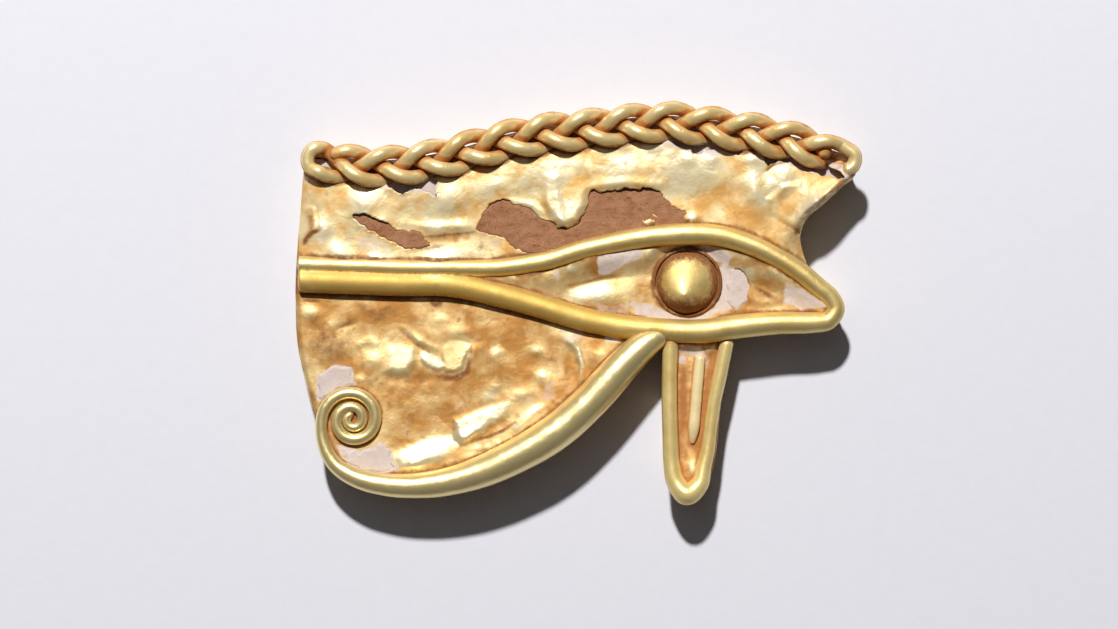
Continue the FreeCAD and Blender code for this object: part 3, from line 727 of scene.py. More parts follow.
def strandPath(line, phase, start, stop):
    # one strand of the plait swings from side to side, and rises and falls twice as often
    run = runLength(line)
    wave = run[-1] * 3 / plait["bumps"]
    s = np.linspace(start, stop, int((stop - start) / plait["step"]))
    middle = readAlong(line, run, s)
    ahead = unit(np.gradient(middle, axis=0))
    across = np.column_stack([-ahead[:, 1], ahead[:, 0]])
    angle = phase + 2 * math.pi * s / wave
    swing = plait["swing"] * (1 - plait["tailTaper"] * smoothstep(run[-1] - plait["tailReach"], run[-1], s))
    flat = middle + across * (swing * np.cos(angle))[:, None]
    return np.column_stack([flat, plait["level"] - plait["lift"] * np.sin(2 * angle)])


def endTurn(line, atEnd, angles, swing):
    # the wire turns round the end of the plait on a circle as wide as the plait swings
    middle, neighbour = (line[-1], line[-2]) if atEnd else (line[0], line[1])
    outward = (middle - neighbour) / np.linalg.norm(middle - neighbour)
    across = np.array([-outward[1], outward[0]])
    flat = middle + swing * (np.cos(angles)[:, None] * outward + np.sin(angles)[:, None] * across)
    return np.column_stack([flat, np.full(len(angles), plait["level"])])


def easeJoint(points, radius):
    # softens the places where a turn meets a strand, and adds the radius
    run = runLength(points)
    points = readAlong(points, run, np.linspace(0, run[-1], int(run[-1] / plait["step"])))
    for _ in range(6):
        points[1:-1] = (points[:-2] + 2 * points[1:-1] + points[2:]) / 4
    return np.column_stack([points, np.full(len(points), radius)])


def plaitPaths():
    line = smoothPath(fromShares(plait["line"]), 0.05)
    length = runLength(line)[-1]
    stop = length - plait["thick"] - 0.06
    upper = strandPath(line, math.pi / 6, 0, stop)
    lower = strandPath(line, 5 * math.pi / 6, 0, stop)
    fold = endTurn(line, False, np.radians(np.linspace(50, -50, 9)), plait["swing"])
    folded = np.vstack([lower[::-1], fold, upper])
    single = strandPath(line, -math.pi / 2, 0.35, length)
    # its first end dips under the other two, and the plait's last end stands up a little
    single[:, 2] -= plait["startSink"] * (1 - smoothstep(0.1, 1.2, runLength(single[:, :2])))
    angles = np.linspace(plait["hookFrom"], -plait["hook"], 12)
    hook = endTurn(line, True, angles, plait["swing"] * (1 - plait["tailTaper"]))
    single = np.vstack([single[:-8], hook])
    for strand in (folded, single):
        strand[:, 2] += plait["tailRise"] * smoothstep(8.4, 11.2, strand[:, 0])
    return easeJoint(folded, plait["thick"] / 2), easeJoint(single, plait["thick"] / 2)


def dropPath(name):
    return seated(smoothPath(fromShares(dropWires[name]), dropWires["step"]))


foldedPath, singlePath = plaitPaths()
paths = {
    "lid_wire": lidPath(), "cheek_wire": cheekPath(),
    "brow_plait_folded_wire": foldedPath, "brow_plait_single_wire": singlePath,
    "drop_border_wire": dropPath("border"), "drop_rib_wire": dropPath("rib"),
}
pupilMiddle = fromShares([pupil["place"]])[0]
ringAngles = circleAngles(120)
collarPath = np.column_stack([
    pupilMiddle[0] + pupil["footRadius"] * np.cos(ringAngles),
    pupilMiddle[1] + pupil["footRadius"] * np.sin(ringAngles),
    np.full(len(ringAngles), seat + 0.05), np.full(len(ringAngles), pupil["footThick"]),
])


def gapToOthers(places, name, chunk=1500):
    # from each place on a wire to the nearest other wire, or to the same wire a little further along
    others = np.vstack([path[::2] for other, path in paths.items() if other != name] + [collarPath])
    own = paths[name][::2]
    run = runLength(own[:, :3])
    gaps = []
    for start in range(0, len(places), chunk):
        part = places[start:start + chunk]
        toOthers = (np.linalg.norm(part[:, None] - others[None, :, :3], axis=2) - others[None, :, 3]).min(1)
        toOwn = np.linalg.norm(part[:, None] - own[None, :, :3], axis=2) - own[None, :, 3]
        here = toOwn.argmin(1)
        away = np.abs(run[None] - run[here][:, None])
        toOwn[away < 4.5 * own[here, 3][:, None]] = 9
        gaps.append(np.minimum(toOthers, toOwn.min(1)))
    return np.concatenate(gaps)


# Geometry Nodes trees. An input has a kind of socket and a value.
def startTree(name, inputs, output):
    tree = bpy.data.node_groups.new(name, "GeometryNodeTree")
    for label, (kind, value) in inputs.items():
        socket = tree.interface.new_socket(label, in_out="INPUT", socket_type="NodeSocket" + kind)
        if value is not None:
            socket.default_value = value
    tree.interface.new_socket(output, in_out="OUTPUT", socket_type="NodeSocketGeometry")
    return tree, tree.nodes.new("NodeGroupInput").outputs


def closeTree(tree, geometry, finish):
    realized = addStep(tree, "GeometryNodeRealizeInstances", {0: geometry})
    finished = addStep(tree, "GeometryNodeSetMaterial", {"Geometry": realized, "Material": finish})
    tree.links.new(finished, tree.nodes.new("NodeGroupOutput").inputs[0])
    return tree


def setInputs(modifier, values):
    sockets = modifier.node_group.interface.items_tree
    identifiers = {item.name: item.identifier for item in sockets if item.in_out == "INPUT"}
    for name, value in values.items():
        modifier[identifiers[name]] = value


def sweptWireTree():
    # a wire of changing thickness, hammered round, and flat where it is soldered down
    tree, given = startTree("swept_wire", {
        "Path": ("Geometry", None), "Sides": ("Int", 24), "Hammer Depth": ("Float", 0.02),
        "Hammer Size": ("Float", 1.0), "Seed": ("Float", 1.0), "Seat Level": ("Float", 0.0),
        "Finish": ("Material", None),
    }, "Wire")
    curve = addStep(tree, "GeometryNodeMeshToCurve", {"Mesh": given["Path"]})
    ring = addStep(tree, "GeometryNodeCurvePrimitiveCircle", {"Resolution": given["Sides"], "Radius": 1.0})
    radius = addStep(tree, "GeometryNodeInputNamedAttribute", {"Name": "radius_here"})
    swept = addStep(tree, "GeometryNodeCurveToMesh", {
        "Curve": curve, "Profile Curve": ring, "Scale": radius, "Fill Caps": True,
    })
    place = addStep(tree, "GeometryNodeInputPosition")
    marks = addStep(tree, "ShaderNodeTexNoise", {
        "Vector": place, "W": given["Seed"], "Scale": calc(tree, "DIVIDE", 1000.0, given["Hammer Size"]),
        "Detail": 2.0, "Roughness": 0.45,
    }, noise_dimensions="4D")
    depth = centred(tree, marks, given["Hammer Depth"])
    normal = addStep(tree, "GeometryNodeInputNormal")
    push = addStep(tree, "ShaderNodeVectorMath", {0: normal, "Scale": depth}, operation="SCALE")
    hammered = addStep(tree, "GeometryNodeSetPosition", {"Geometry": swept, "Offset": push})
    x, y, z = addNode(tree, "ShaderNodeSeparateXYZ", {0: place}).outputs
    seatedZ = calc(tree, "MAXIMUM", z, given["Seat Level"])
    lifted = addStep(tree, "ShaderNodeCombineXYZ", {0: x, 1: y, 2: seatedZ})
    flat = addStep(tree, "GeometryNodeSetPosition", {"Geometry": hammered, "Position": lifted})
    smooth = addStep(tree, "GeometryNodeSetShadeSmooth", {"Geometry": flat})
    return closeTree(tree, smooth, given["Finish"])


wireTree = sweptWireTree()


def roundedEnds(path, roundness):
    # extra points close in on both ends, where the wire rounds off
    run = runLength(path[:, :3])
    extra = []
    for atEnd in (False, True):
        tip = path[-1, 3] if atEnd else path[0, 3]
        near = tip * roundness * (1 - np.cos(np.linspace(0.03, math.pi / 2, 12)))
        extra.append(run[-1] - near if atEnd else near)
    low, high = extra[0].max(), extra[1].min()
    where = np.unique(np.concatenate([run[(run > low) & (run < high)], extra[0], extra[1]]))
    made = readAlong(path, run, where)
    for distance, tip in ((where, path[0, 3]), (where[-1] + where[0] - where, path[-1, 3])):
        t = np.clip(1 - distance / (tip * roundness), 0, 1)
        made[:, 3] *= 1 - (1 - np.sqrt(np.maximum(1 - t * t, 0.0004))) * min(1, 0.5 + roundness)
    return made


# Tarnish is given along the wire, and the grime's reach is how far the grime and painted shade spread
# from a neighbour. The side grime is painted shade on a wire's lower sides.
anyWire = {"tarnish": [(0, 0), (1, 0)], "grimeAndShadeReach": 0.18, "touchGrimeAndShade": 0.9, "lowerSideShade": 0, "polishAndSheen": 0}


def sweepWire(name, given, finish, level=seat):
    settings = {**anyWire, **given}
    path = roundedEnds(paths[name], settings["endRound"])
    mesh = bpy.data.meshes.new(name)
    mesh.from_pydata((path[:, :3] * mm).tolist(), [(i, i + 1) for i in range(len(path) - 1)], [])
    made = addObject(name + "_swept", mesh)
    setValues(made, "radius_here", path[:, 3] * mm)
    modifier = made.modifiers.new("wire", "NODES")
    modifier.node_group = wireTree
    setInputs(modifier, {
        "Sides": settings["sides"], "Hammer Depth": settings["hammerDepth"] * mm,
        "Hammer Size": settings["hammerSize"], "Seed": settings["seed"], "Seat Level": level * mm,
        "Finish": finish,
    })
    places = placesOf(applied(made))
    near = kdTree(path[:, :3])
    index = [near.find(point)[1] for point in places]
    radius = np.maximum(path[index, 3], 0.05)
    share = (places[:, 2] - level) / radius
    upness = (places[:, 2] - path[index, 2]) / radius
    patches = lumps(places[:, 0], places[:, 1] + places[:, 2], 1.1, int(settings["seed"]))
    tarnish = np.interp(np.asarray(index) / len(path), *zip(*settings["tarnish"]))
    # painted shade with some dirt: darker at a wire's foot, next to other wires, and on the lower sides
    foot = 1 - smoothstep(0.05, 0.60 + 0.5 * patches, share)
    touch = 1 - smoothstep(0.02, settings["grimeAndShadeReach"] + 0.10 * patches, gapToOthers(places, name))
    side = settings["lowerSideShade"] * (1 - smoothstep(0.25 + 0.5 * patches, 0.95, upness))
    darkSide = tarnish * (1 - smoothstep(0.2, 1.5, share)) * 0.8
    grimeAndShade = np.maximum.reduce([foot * 0.7, touch * settings["touchGrimeAndShade"], side, darkSide])
    # the tops of the wires are less dull, so paler and smoother, partly a painted highlight; polish adds to
    # it
    dull = 0.30 - 0.40 * smoothstep(0.3, 1.6, share) + 0.3 * patches + tarnish - settings["polishAndSheen"]
    setValues(made, "grimeAndShade", np.clip(grimeAndShade, 0, 1))
    setValues(made, "dull", np.clip(dull, -0.6, 0.7))
    finishPiece(made, "wire_gold", name)


plaitSeat = seat - 0.02      # the plait is pressed into the foil a little
sweepWire("lid_wire", lidWire, wireGold)
sweepWire("cheek_wire", cheekWire, wireGold)
sweepWire("brow_plait_folded_wire", plait, thinWireGold, plaitSeat)
sweepWire("brow_plait_single_wire", {**plait, "seed": 9.0}, thinWireGold, plaitSeat)
sweepWire("drop_border_wire", dropWires, dropWireGold)
sweepWire("drop_rib_wire", {**dropWires, "sides": 18, "polishAndSheen": 0.4, "touchGrimeAndShade": 0.2}, ribGold)
print("wires made")


def hole(outline, x, y, seed, jag=0.2):
    # signed distance to a torn hole, negative in it, with a ragged edge
    ragged = jag * lumps(x, y, 0.55, seed, 3) + jag * 0.8 * lumps(x, y, 0.22, seed + 1, 2)
    return outlineDistance(fromPhoto(outline), x, y) + ragged


def holes(outlines, x, y, seed, jag=0.2):
    return np.minimum.reduce([
        hole(outline, x, y, seed + number, jag) for number, outline in enumerate(outlines)
    ])


def lineHeight(path):
    order = np.argsort(path[:, 0])
    return path[order, 0], path[order, 1]


lid = paths["lid_wire"]
lidTip = lid[:, 0].argmax()
upperLine, lowerLine = lineHeight(lid[:lidTip]), lineHeight(lid[lidTip:])
plaitLine = lineHeight(smoothPath(fromShares(plait["line"]), 0.1))
wirePoints = np.vstack([path[::2] for path in paths.values()] + [collarPath])
wirePointTree = flatTree(wirePoints)


def gapToWires(x, y):
    # how far a place on the foil lies from the foot of the nearest wire
    gaps = [min(away - wirePoints[index, 3] for _, index, away in wirePointTree.find_n((u, v, 0), 6))
            for u, v in zip(np.ravel(x), np.ravel(y))]
    return np.array(gaps).reshape(np.shape(x))


def bump(x, y, middle, size, turn=0.0):
    (mx, my), = fromPhoto([middle])
    u, v = x - mx, y - my
    c, s = math.cos(math.radians(turn)), math.sin(math.radians(turn))
    u, v = (u * c + v * s) / size[0], (v * c - u * s) / size[1]
    return np.exp(-(u * u + v * v))


def ridge(x, y, line, wide):
    away, along = nearestOn(fromPhoto(line), x, y)
    taper = np.sqrt(np.clip(4 * along * (1 - along), 0, 1)) * 0.7 + 0.3
    return taper * np.exp(-(away / wide) ** 1.8)


def crumple(x, y, seed, count, size, depth, low, high):
    # many short soft folds, each fading out round its own middle
    random = np.random.default_rng(seed)
    total = np.zeros(np.shape(x))
    for _ in range(count):
        mx, my = random.uniform(low, high)
        turn = random.uniform(0, math.pi)
        reach = size * random.uniform(0.5, 1.6)
        sign = random.choice([-1, 1, 1])
        u, v = x - mx, y - my
        across = u * math.cos(turn) + v * math.sin(turn)
        across = across + 0.15 * np.sin(2.2 * (v * math.cos(turn) - u * math.sin(turn)))
        fade = np.exp(-(u * u + v * v) / (reach * reach))
        total += sign * depth * fade * np.exp(-(np.abs(across) / (0.28 * reach)) ** 1.4)
    return total


def relief(foil, x, y):
    # what a foil's tables add to its height, and its painted sheen: painted highlight above zero, painted
    # shade below
    seed = foil["seed"]
    height = foil["sway"] * lumps(x, y, 2.2, seed, 2) + foil["unevenness"] * lumps(x, y, 0.7, seed + 1, 2)
    height = height + crumple(x, y, seed + 2, *foil["crumples"], foil["low"], foil["high"])
    paintedSheen = np.zeros(np.shape(x))
    for middle, size, high, turn, bright in foil["rises"]:
        height = height + high * bump(x, y, middle, size, turn)
        # the side of a rise that faces the light gets a painted highlight
        paintedSheen = paintedSheen + bright * bump(x, y, (middle[0], middle[1] - size[1] * 9), size, turn)
    for outline, slope, toward, lift, blend, bright in foil["scraps"]:
        corners = fromPhoto(outline)
        edge = outlineDistance(corners, x, y) + 0.12 * lumps(x, y, 0.5, seed + 3, 2)
        mask = 1 - smoothstep(-blend, blend * 0.4, edge)
        fall = np.array([math.cos(math.radians(toward)), math.sin(math.radians(toward))])
        reach = np.maximum((corners @ fall).max() - (x * fall[0] + y * fall[1]), 0)
        height = height + mask * (lift + slope * reach)
        paintedSheen = paintedSheen + bright * mask
    for line, high, wide, bright in foil["folds"]:
        shape = ridge(x, y, line, wide)
        height = height + high * shape
        paintedSheen = paintedSheen + bright * shape
    return height, np.clip(paintedSheen, -1, 1)


def foilValues(foil, x, y, distance, toHole):
    # grime with painted shade, dullness with painted sheen, and chalk at each point of a foil
    seed = foil["seed"]
    gap = gapToWires(x, y)
    patches = lumps(x, y, 0.9, seed + 4, 3)
    paintedSheen = relief(foil, x, y)[1]
    # painted shade, with some dirt, along the feet of the wires
    byWire = 1 - smoothstep(0.0, 0.22 + 0.4 * patches, gap)
    byHole = 1 - smoothstep(0.0, 0.12 + 0.2 * patches, toHole)
    spots = smoothstep(0.18, 0.32, lumps(x, y, 0.5, seed + 5, 3)) * foil["spots"] - 0.5 * np.maximum(paintedSheen, 0)
    hem = smoothstep(0.25, 0.7, distance) * 0.4
    stains = np.zeros(np.shape(x))
    for line, amount, wide in foil["stains"]:
        stains = np.maximum(stains, amount * ridge(x, y, line, wide))
    grimeAndShade = np.maximum.reduce([0.7 * byWire, foil["rimGrime"] * byHole, spots, hem, stains])
    chalk = np.zeros(np.shape(x))
    for outline, amount in foil["chalk"]:
        edge = outlineDistance(fromPhoto(outline), x, y) + 0.25 * lumps(x, y, 0.6, seed + 6, 3)
        chalk = np.maximum(chalk, amount * (1 - smoothstep(-0.12, 0.22, edge)))
    freckles = smoothstep(0.20, 0.34, lumps(x, y, 0.8, seed + 7, 3)) * foil["freckles"] * (1 - byWire)
    dull = foil["dullness"] + foil["patchiness"] * patches - 0.8 * paintedSheen
    return {
        "grimeAndShade": np.clip(grimeAndShade, 0, 1), "dull": np.clip(dull, -0.65, 0.6),
        "chalk": np.clip(np.maximum(chalk, freckles), 0, 1),
    }


def cellFaces(number, kept):
    # the corners of each kept cell of a grid, by the numbers of its points
    return np.column_stack([
        number[:-1, :-1][kept], number[:-1, 1:][kept], number[1:, 1:][kept], number[1:, :-1][kept],
    ])


def addWall(made, thick, offset):
    solid = made.modifiers.new("wall", "SOLIDIFY")
    solid.thickness = thick * mm
    solid.offset = offset
    return applied(made)


# where the brow foil's edge stands up, in pixels of the photograph
rolledLine = [(798, 232), (806, 218), (820, 204), (836, 190), (856, 171)]


def buildFoil(name, foil, edge, height, toHole, outline, finish):
    cell = foil["cell"]
    (lowX, lowY), (highX, highY) = foil["low"], foil["high"]
    x, y = np.meshgrid(np.arange(lowX, highX, cell), np.arange(lowY, highY, cell))
    x = x + cell * 0.25 * np.sin(y * 40)
    # the cells inside the foil's edge stay, and the points of their rim move onto it
    away = edge(x, y)
    kept = (away[:-1, :-1] + away[1:, :-1] + away[:-1, 1:] + away[1:, 1:]) < 0
    touching = np.zeros(x.shape, int)
    for rows in (slice(None, -1), slice(1, None)):
        for columns in (slice(None, -1), slice(1, None)):
            touching[rows, columns] += kept
    rim = (touching > 0) & (touching < 4)
    slopeY, slopeX = np.gradient(away, cell)
    steep = np.maximum(slopeX**2 + slopeY**2, 0.3)
    shift = np.clip(-away / steep, -0.8 * cell, 0.8 * cell)
    x = np.where(rim, x + shift * slopeX, x)
    y = np.where(rim, y + shift * slopeY, y)
    used = touching > 0
    number = np.full(x.shape, -1)
    number[used] = np.arange(used.sum())
    x, y = x[used], y[used]
    z = np.maximum(height(x, y), foilLow)
    # past the tray's edge the foil bends down over the wall
    distance, outX, outY = outline.nearest(x, y)
    bend = foil["bend"]
    run = np.maximum(distance + bend - foil["proud"], 0)
    angle = np.minimum(run / bend, math.pi / 2)
    fall = bend * (1 - np.cos(angle)) + np.maximum(run - bend * math.pi / 2, 0)
    back = np.where(run > 0, bend * np.sin(angle) - run, 0)
    level = np.minimum(z, seat + 0.02 + foil["rolledRim"] * ridge(x, y, rolledLine, 0.7))
    z = np.where(run > 0, z + (level - z) * smoothstep(0, 0.2, run) - fall, z)
    ripple = foil["ripple"] * lumps(x + z, y - z, 0.7, 77, 2) * smoothstep(0.1, 0.5, run)
    shape = np.column_stack([x + outX * (back + ripple), y + outY * (back + ripple), np.maximum(z, 0.05)])
    values = foilValues(foil, x, y, distance, toHole(x, y))
    made = makeObject(name + "_sheet", shape, cellFaces(number, kept).tolist(), finish, values)
    finishPiece(addWall(made, foil["thick"], 0), "foil_gold", name)


def lap(x, y, reach, seed):
    # how far the foil hangs down over the wall, with a ragged hem
    return reach + 0.45 * lumps(x, y, 1.6, seed, 2) + 0.12 * lumps(x, y, 0.3, seed + 3, 2)


# The foils. Places are in pixels of the photograph, and sizes and heights in millimetres.
# rises: middle, half sizes, height, turn, painted sheen; folds: line, height, width, painted sheen;
# scraps: outline, slope, the side it falls to, lift, blend, painted sheen; stains: line, amount, width;
# a painted sheen above zero is a painted highlight and below zero painted shade; some stains are
# painted shade in creases and painted shadows under lifted edges;
# chalk: outline, amount; gapLevels: the height of the plaster's crust in each of the gaps;
# hem: how far the foil hangs over the wall, and where it hangs further or less.
foilRest = seat + 0.005      # the middle of the foil's thickness where it lies smooth
foilLow = 1.775              # it can't sink into the plaster
anyFoil = {
    "cell": 0.06, "bend": 0.26, "proud": 0.03, "thick": 0.03, "ripple": 0.03,
    "patchiness": 0.9, "rolledRim": 0.0, "rimGrime": 0.0, "gapJag": 0.2,
}
browFoil = {
    **anyFoil,
    "low": (-12.9, -1.4), "high": (12.6, 8.7), "seed": 31, "sway": 0.06, "unevenness": 0.022,
    "crumples": (110, 0.7, 0.016), "spots": 0.35, "freckles": 0.45, "dullness": -0.06, "patchiness": 1.3,
    "gapSeed": 7, "gapLevels": (0.42, 0.34, 0.16, 0.06), "rimGrime": 0.35, "hem": 0.34, "wideHem": 0.62,
    "wideLeftOf": -10.5, "wideRightOf": 8.8, "belly": 0.14, "pillow": 0.36, "rolledRim": 0.95,
    "tear": [
        (477, 229), (482, 221), (488, 206), (494, 202), (503, 200), (509, 202), (513, 206), (522, 205),
        (531, 208), (537, 214), (546, 219), (553, 223), (558, 228), (567, 229.5), (576, 226), (582, 218),
        (587, 207), (590, 192), (600, 193), (612, 192.5), (625, 189), (643, 188.5), (661, 190.5), (663, 198),
        (668, 205), (676, 209), (684, 211), (692, 222), (680, 227), (660, 229), (640, 232), (620, 237),
        (600, 242), (580, 246), (560, 250), (540, 254), (528, 255), (516, 250), (509, 242), (504, 238),
        (494, 236), (482, 234)],
    "islands": [
        [(640, 223), (644, 217), (652, 215), (658, 218), (656, 225), (646, 227)],
        [(682, 217), (690, 208), (700, 206), (703, 213), (694, 220), (684, 221)]],
    "slit": [
        (353, 215), (362, 213), (376, 218), (388, 224), (397, 230), (403, 228), (410, 231), (422, 233),
        (425, 240), (431, 246), (418, 249), (404, 247), (392, 242), (380, 236), (368, 227), (358, 221)],
    "gaps": [
        [(388, 182), (400, 177), (404, 190), (412, 182), (424, 181), (436, 182), (437, 197), (425, 193),
         (413, 189), (404, 194), (390, 188)],
        [(666, 141), (682, 140), (700, 142), (718, 142), (732, 147), (741, 151), (738, 157), (728, 156),
         (714, 150), (703, 150), (697, 156), (688, 150), (677, 147)],
        [(764, 151), (786, 148), (801, 154), (816, 161), (838, 172), (843, 180), (822, 176), (803, 171),
         (790, 163), (776, 163), (765, 171)],
        [(312, 154), (330, 153), (333, 164), (318, 164)]],
    "rises": [
        ((366, 206), (0.65, 0.60), 0.16, -30, 1.0), ((324, 230), (0.34, 0.38), 0.13, 0, 1.0),
        ((342, 256), (0.75, 0.36), 0.12, -35, 0.8), ((438, 233), (0.38, 0.42), 0.13, 0, 1.0),
        ((461, 228), (0.50, 0.36), 0.10, -15, 0.6), ((384, 222), (0.30, 0.28), 0.07, 0, 0.5),
        ((438, 263), (1.10, 0.42), 0.14, 12, 0.8), ((374, 262), (0.60, 0.30), 0.10, 0, 0.6),
        ((452, 200), (0.85, 0.55), 0.14, 20, 0.7), ((632, 172), (1.50, 0.60), 0.16, -4, 1.0),
        ((601, 150), (0.34, 0.24), 0.05, 0, 0.9), ((622, 148), (0.30, 0.22), 0.05, 0, 0.8),
        ((652, 150), (0.34, 0.24), 0.06, 0, 0.9), ((688, 161), (0.34, 0.26), 0.06, 0, 0.9),
        ((711, 160), (0.36, 0.26), 0.07, 0, 0.9), ((752, 160), (0.36, 0.30), 0.10, 0, 1.0),
        ((783, 172), (0.40, 0.26), 0.09, 0, 1.0), ((752, 192), (0.45, 0.85), 0.26, 0, 1.0),
        ((764, 205), (0.40, 0.50), 0.10, -30, 0.9), ((779, 184), (0.70, 0.40), 0.18, 28, 1.0),
        ((700, 168), (1.40, 0.50), 0.06, -6, 0.8), ((560, 172), (1.20, 0.45), 0.05, 6, 0.7),
        ((812, 204), (0.36, 0.32), 0.08, 20, 0.6), ((740, 222), (1.20, 0.70), 0.02, 10, -0.7),
        ((829, 196), (0.46, 0.36), 0.09, 10, 0.5), ((500, 187), (0.90, 0.50), 0.10, 12, 0.4),
        ((700, 180), (1.00, 0.60), 0.08, 0, 0.3), ((560, 224), (0.22, 0.24), 0.08, 0, 0.9),
        ((648, 224), (0.26, 0.20), 0.10, 0, 0.6), ((692, 219), (0.34, 0.24), 0.12, 15, 0.9),
        ((560, 252), (1.00, 0.24), 0.05, 12, 0.3)],
    "scraps": [
        ([(542, 172), (576, 170), (590, 188), (586, 208), (578, 222), (565, 229), (552, 222), (541, 204)],
         0.15, 85, 0.0, 0.30, 0.3),
        ([(765, 200), (780, 185), (800, 181), (804, 194), (797, 206), (782, 223), (768, 215)],
         0.10, -75, 0.0, 0.22, -0.3),
        ([(300, 208), (316, 206), (320, 232), (306, 244), (300, 240)], 0.16, 170, 0.0, 0.15, -0.3)],
    "folds": [
        ([(556, 176), (557, 200), (562, 224)], 0.05, 0.22, 0.9),
        ([(510, 201), (530, 205), (546, 215)], 0.07, 0.16, 0.5),
        ([(590, 187), (625, 184), (662, 186)], 0.15, 0.26, 0.2),
        ([(838, 188), (820, 198), (806, 208), (797, 218), (789, 230), (786, 243)], 0.10, 0.24, 0.1),
        ([(304, 246), (308, 238), (314, 233), (322, 230)], -0.08, 0.12, -0.3),
        ([(424, 240), (445, 238), (478, 235)], -0.06, 0.26, -0.4),
        ([(400, 224), (430, 227), (470, 226)], 0.06, 0.2, 0.2),
        ([(763, 173), (771, 166), (786, 162)], -0.05, 0.10, -0.3)],
    "stains": [
        # painted shade along a crease at the left end
        ([(304, 246), (308, 238), (314, 233), (322, 230)], 0.95, 0.13),
        ([(311, 214), (313, 226), (312, 234)], 0.55, 0.18),
        # painted shade along the furrow beside the slit
        ([(424, 240), (445, 238), (478, 235)], 0.42, 0.30),
        ([(416, 238), (440, 236), (462, 234), (477, 232)], 0.72, 0.09),
        ([(410, 248), (430, 248), (450, 245)], 0.55, 0.12), ([(763, 173), (771, 166), (786, 162)], 0.8, 0.09),
        ([(792, 233), (797, 233)], 0.7, 0.12),
        ([(846, 184), (826, 198), (808, 212), (797, 228), (796, 244)], 0.40, 0.45),
        ([(310, 255), (345, 257)], 0.45, 0.12),
        # the first of these is a painted shadow under the flap's free edge
        ([(553, 224), (567, 230), (578, 224), (588, 206)], 0.75, 0.10), ([(485, 254), (498, 255)], 0.5, 0.14),
        ([(404, 187), (403, 196)], 0.7, 0.09)],
    "chalk": [
        ([(360, 239), (374, 237), (384, 243), (382, 251), (368, 252), (359, 247)], 0.5),
        ([(384, 178), (440, 178), (437, 196), (420, 193), (404, 194), (386, 189)], 0.7),
        ([(660, 136), (742, 144), (740, 158), (700, 156), (664, 148)], 0.6),
        ([(640, 108), (664, 108), (664, 128), (640, 128)], 1.0),
        ([(676, 110), (702, 110), (700, 130), (676, 130)], 1.0),
        ([(722, 118), (748, 120), (746, 138), (722, 136)], 1.0),
        ([(310, 150), (334, 150), (334, 166), (310, 166)], 1.0),
        ([(600, 120), (618, 120), (618, 136), (600, 136)], 0.7),
        ([(755, 146), (800, 152), (845, 166), (846, 182), (800, 172), (756, 160)], 0.6)],
}
eyeFoil = {
    **anyFoil,
    "low": (-12.9, -2.4), "high": (11.9, 3.2), "seed": 131, "sway": 0.05, "unevenness": 0.025,
    "crumples": (60, 0.6, 0.02), "spots": 0.3, "freckles": 0.6, "dullness": 0.10, "gapSeed": 41,
    "gapLevels": (0.15,), "hem": 0.18, "climb": 0.42,
    "gaps": [[(732, 268), (742, 271), (749, 284), (747, 299), (737, 309), (730, 300), (730, 282)]],
    "rises": [
        ((606, 296), (0.85, 0.46), 0.12, 4, 1.0), ((580, 300), (0.60, 0.34), 0.07, 0, 0.7),
        ((571, 271), (0.26, 0.16), 0.04, 0, 0.8), ((620, 315), (0.16, 0.16), 0.02, 0, 0.9),
        ((650, 257), (0.22, 0.20), 0.04, 0, 0.8), ((748, 275), (0.36, 0.32), 0.08, 0, 0.6),
        ((632, 288), (0.40, 0.60), 0.06, 0, 0.0), ((545, 292), (1.00, 0.40), 0.07, 0, 0.4),
        ((775, 276), (0.50, 0.30), 0.06, -20, 0.3)],
    "scraps": [
        ([(738, 262), (770, 262), (786, 280), (782, 304), (760, 308), (740, 300)], 0.05, 85, 0.0, 0.25, 0.0)],
    "folds": [([(566, 288), (588, 283), (604, 279), (622, 277)], -0.03, 0.10, -0.2)],
    "stains": [
        ([(566, 286), (588, 281), (604, 277), (622, 275)], 0.6, 0.08),
        ([(754, 287), (762, 292), (776, 299)], 0.75, 0.13), ([(764, 303), (772, 306)], 0.5, 0.10),
        ([(742, 300), (756, 302)], 0.35, 0.15)],
    "chalk": [
        ([(598, 258), (620, 250), (642, 248), (642, 257), (625, 264), (610, 272), (600, 272)], 0.9),
        ([(690, 250), (715, 249), (732, 256), (724, 262), (700, 261)], 0.9),
        ([(718, 268), (740, 270), (746, 288), (740, 306), (715, 314), (700, 321), (660, 321), (636, 314),
         (632, 304), (650, 304), (662, 312), (690, 316), (712, 308), (722, 296)], 0.9),
        ([(786, 284), (800, 290), (824, 306), (800, 310), (784, 302)], 1.0),
        ([(590, 302), (630, 303), (630, 318), (600, 316)], 0.5),
        ([(520, 284), (550, 284), (560, 300), (530, 300)], 0.35)],
}
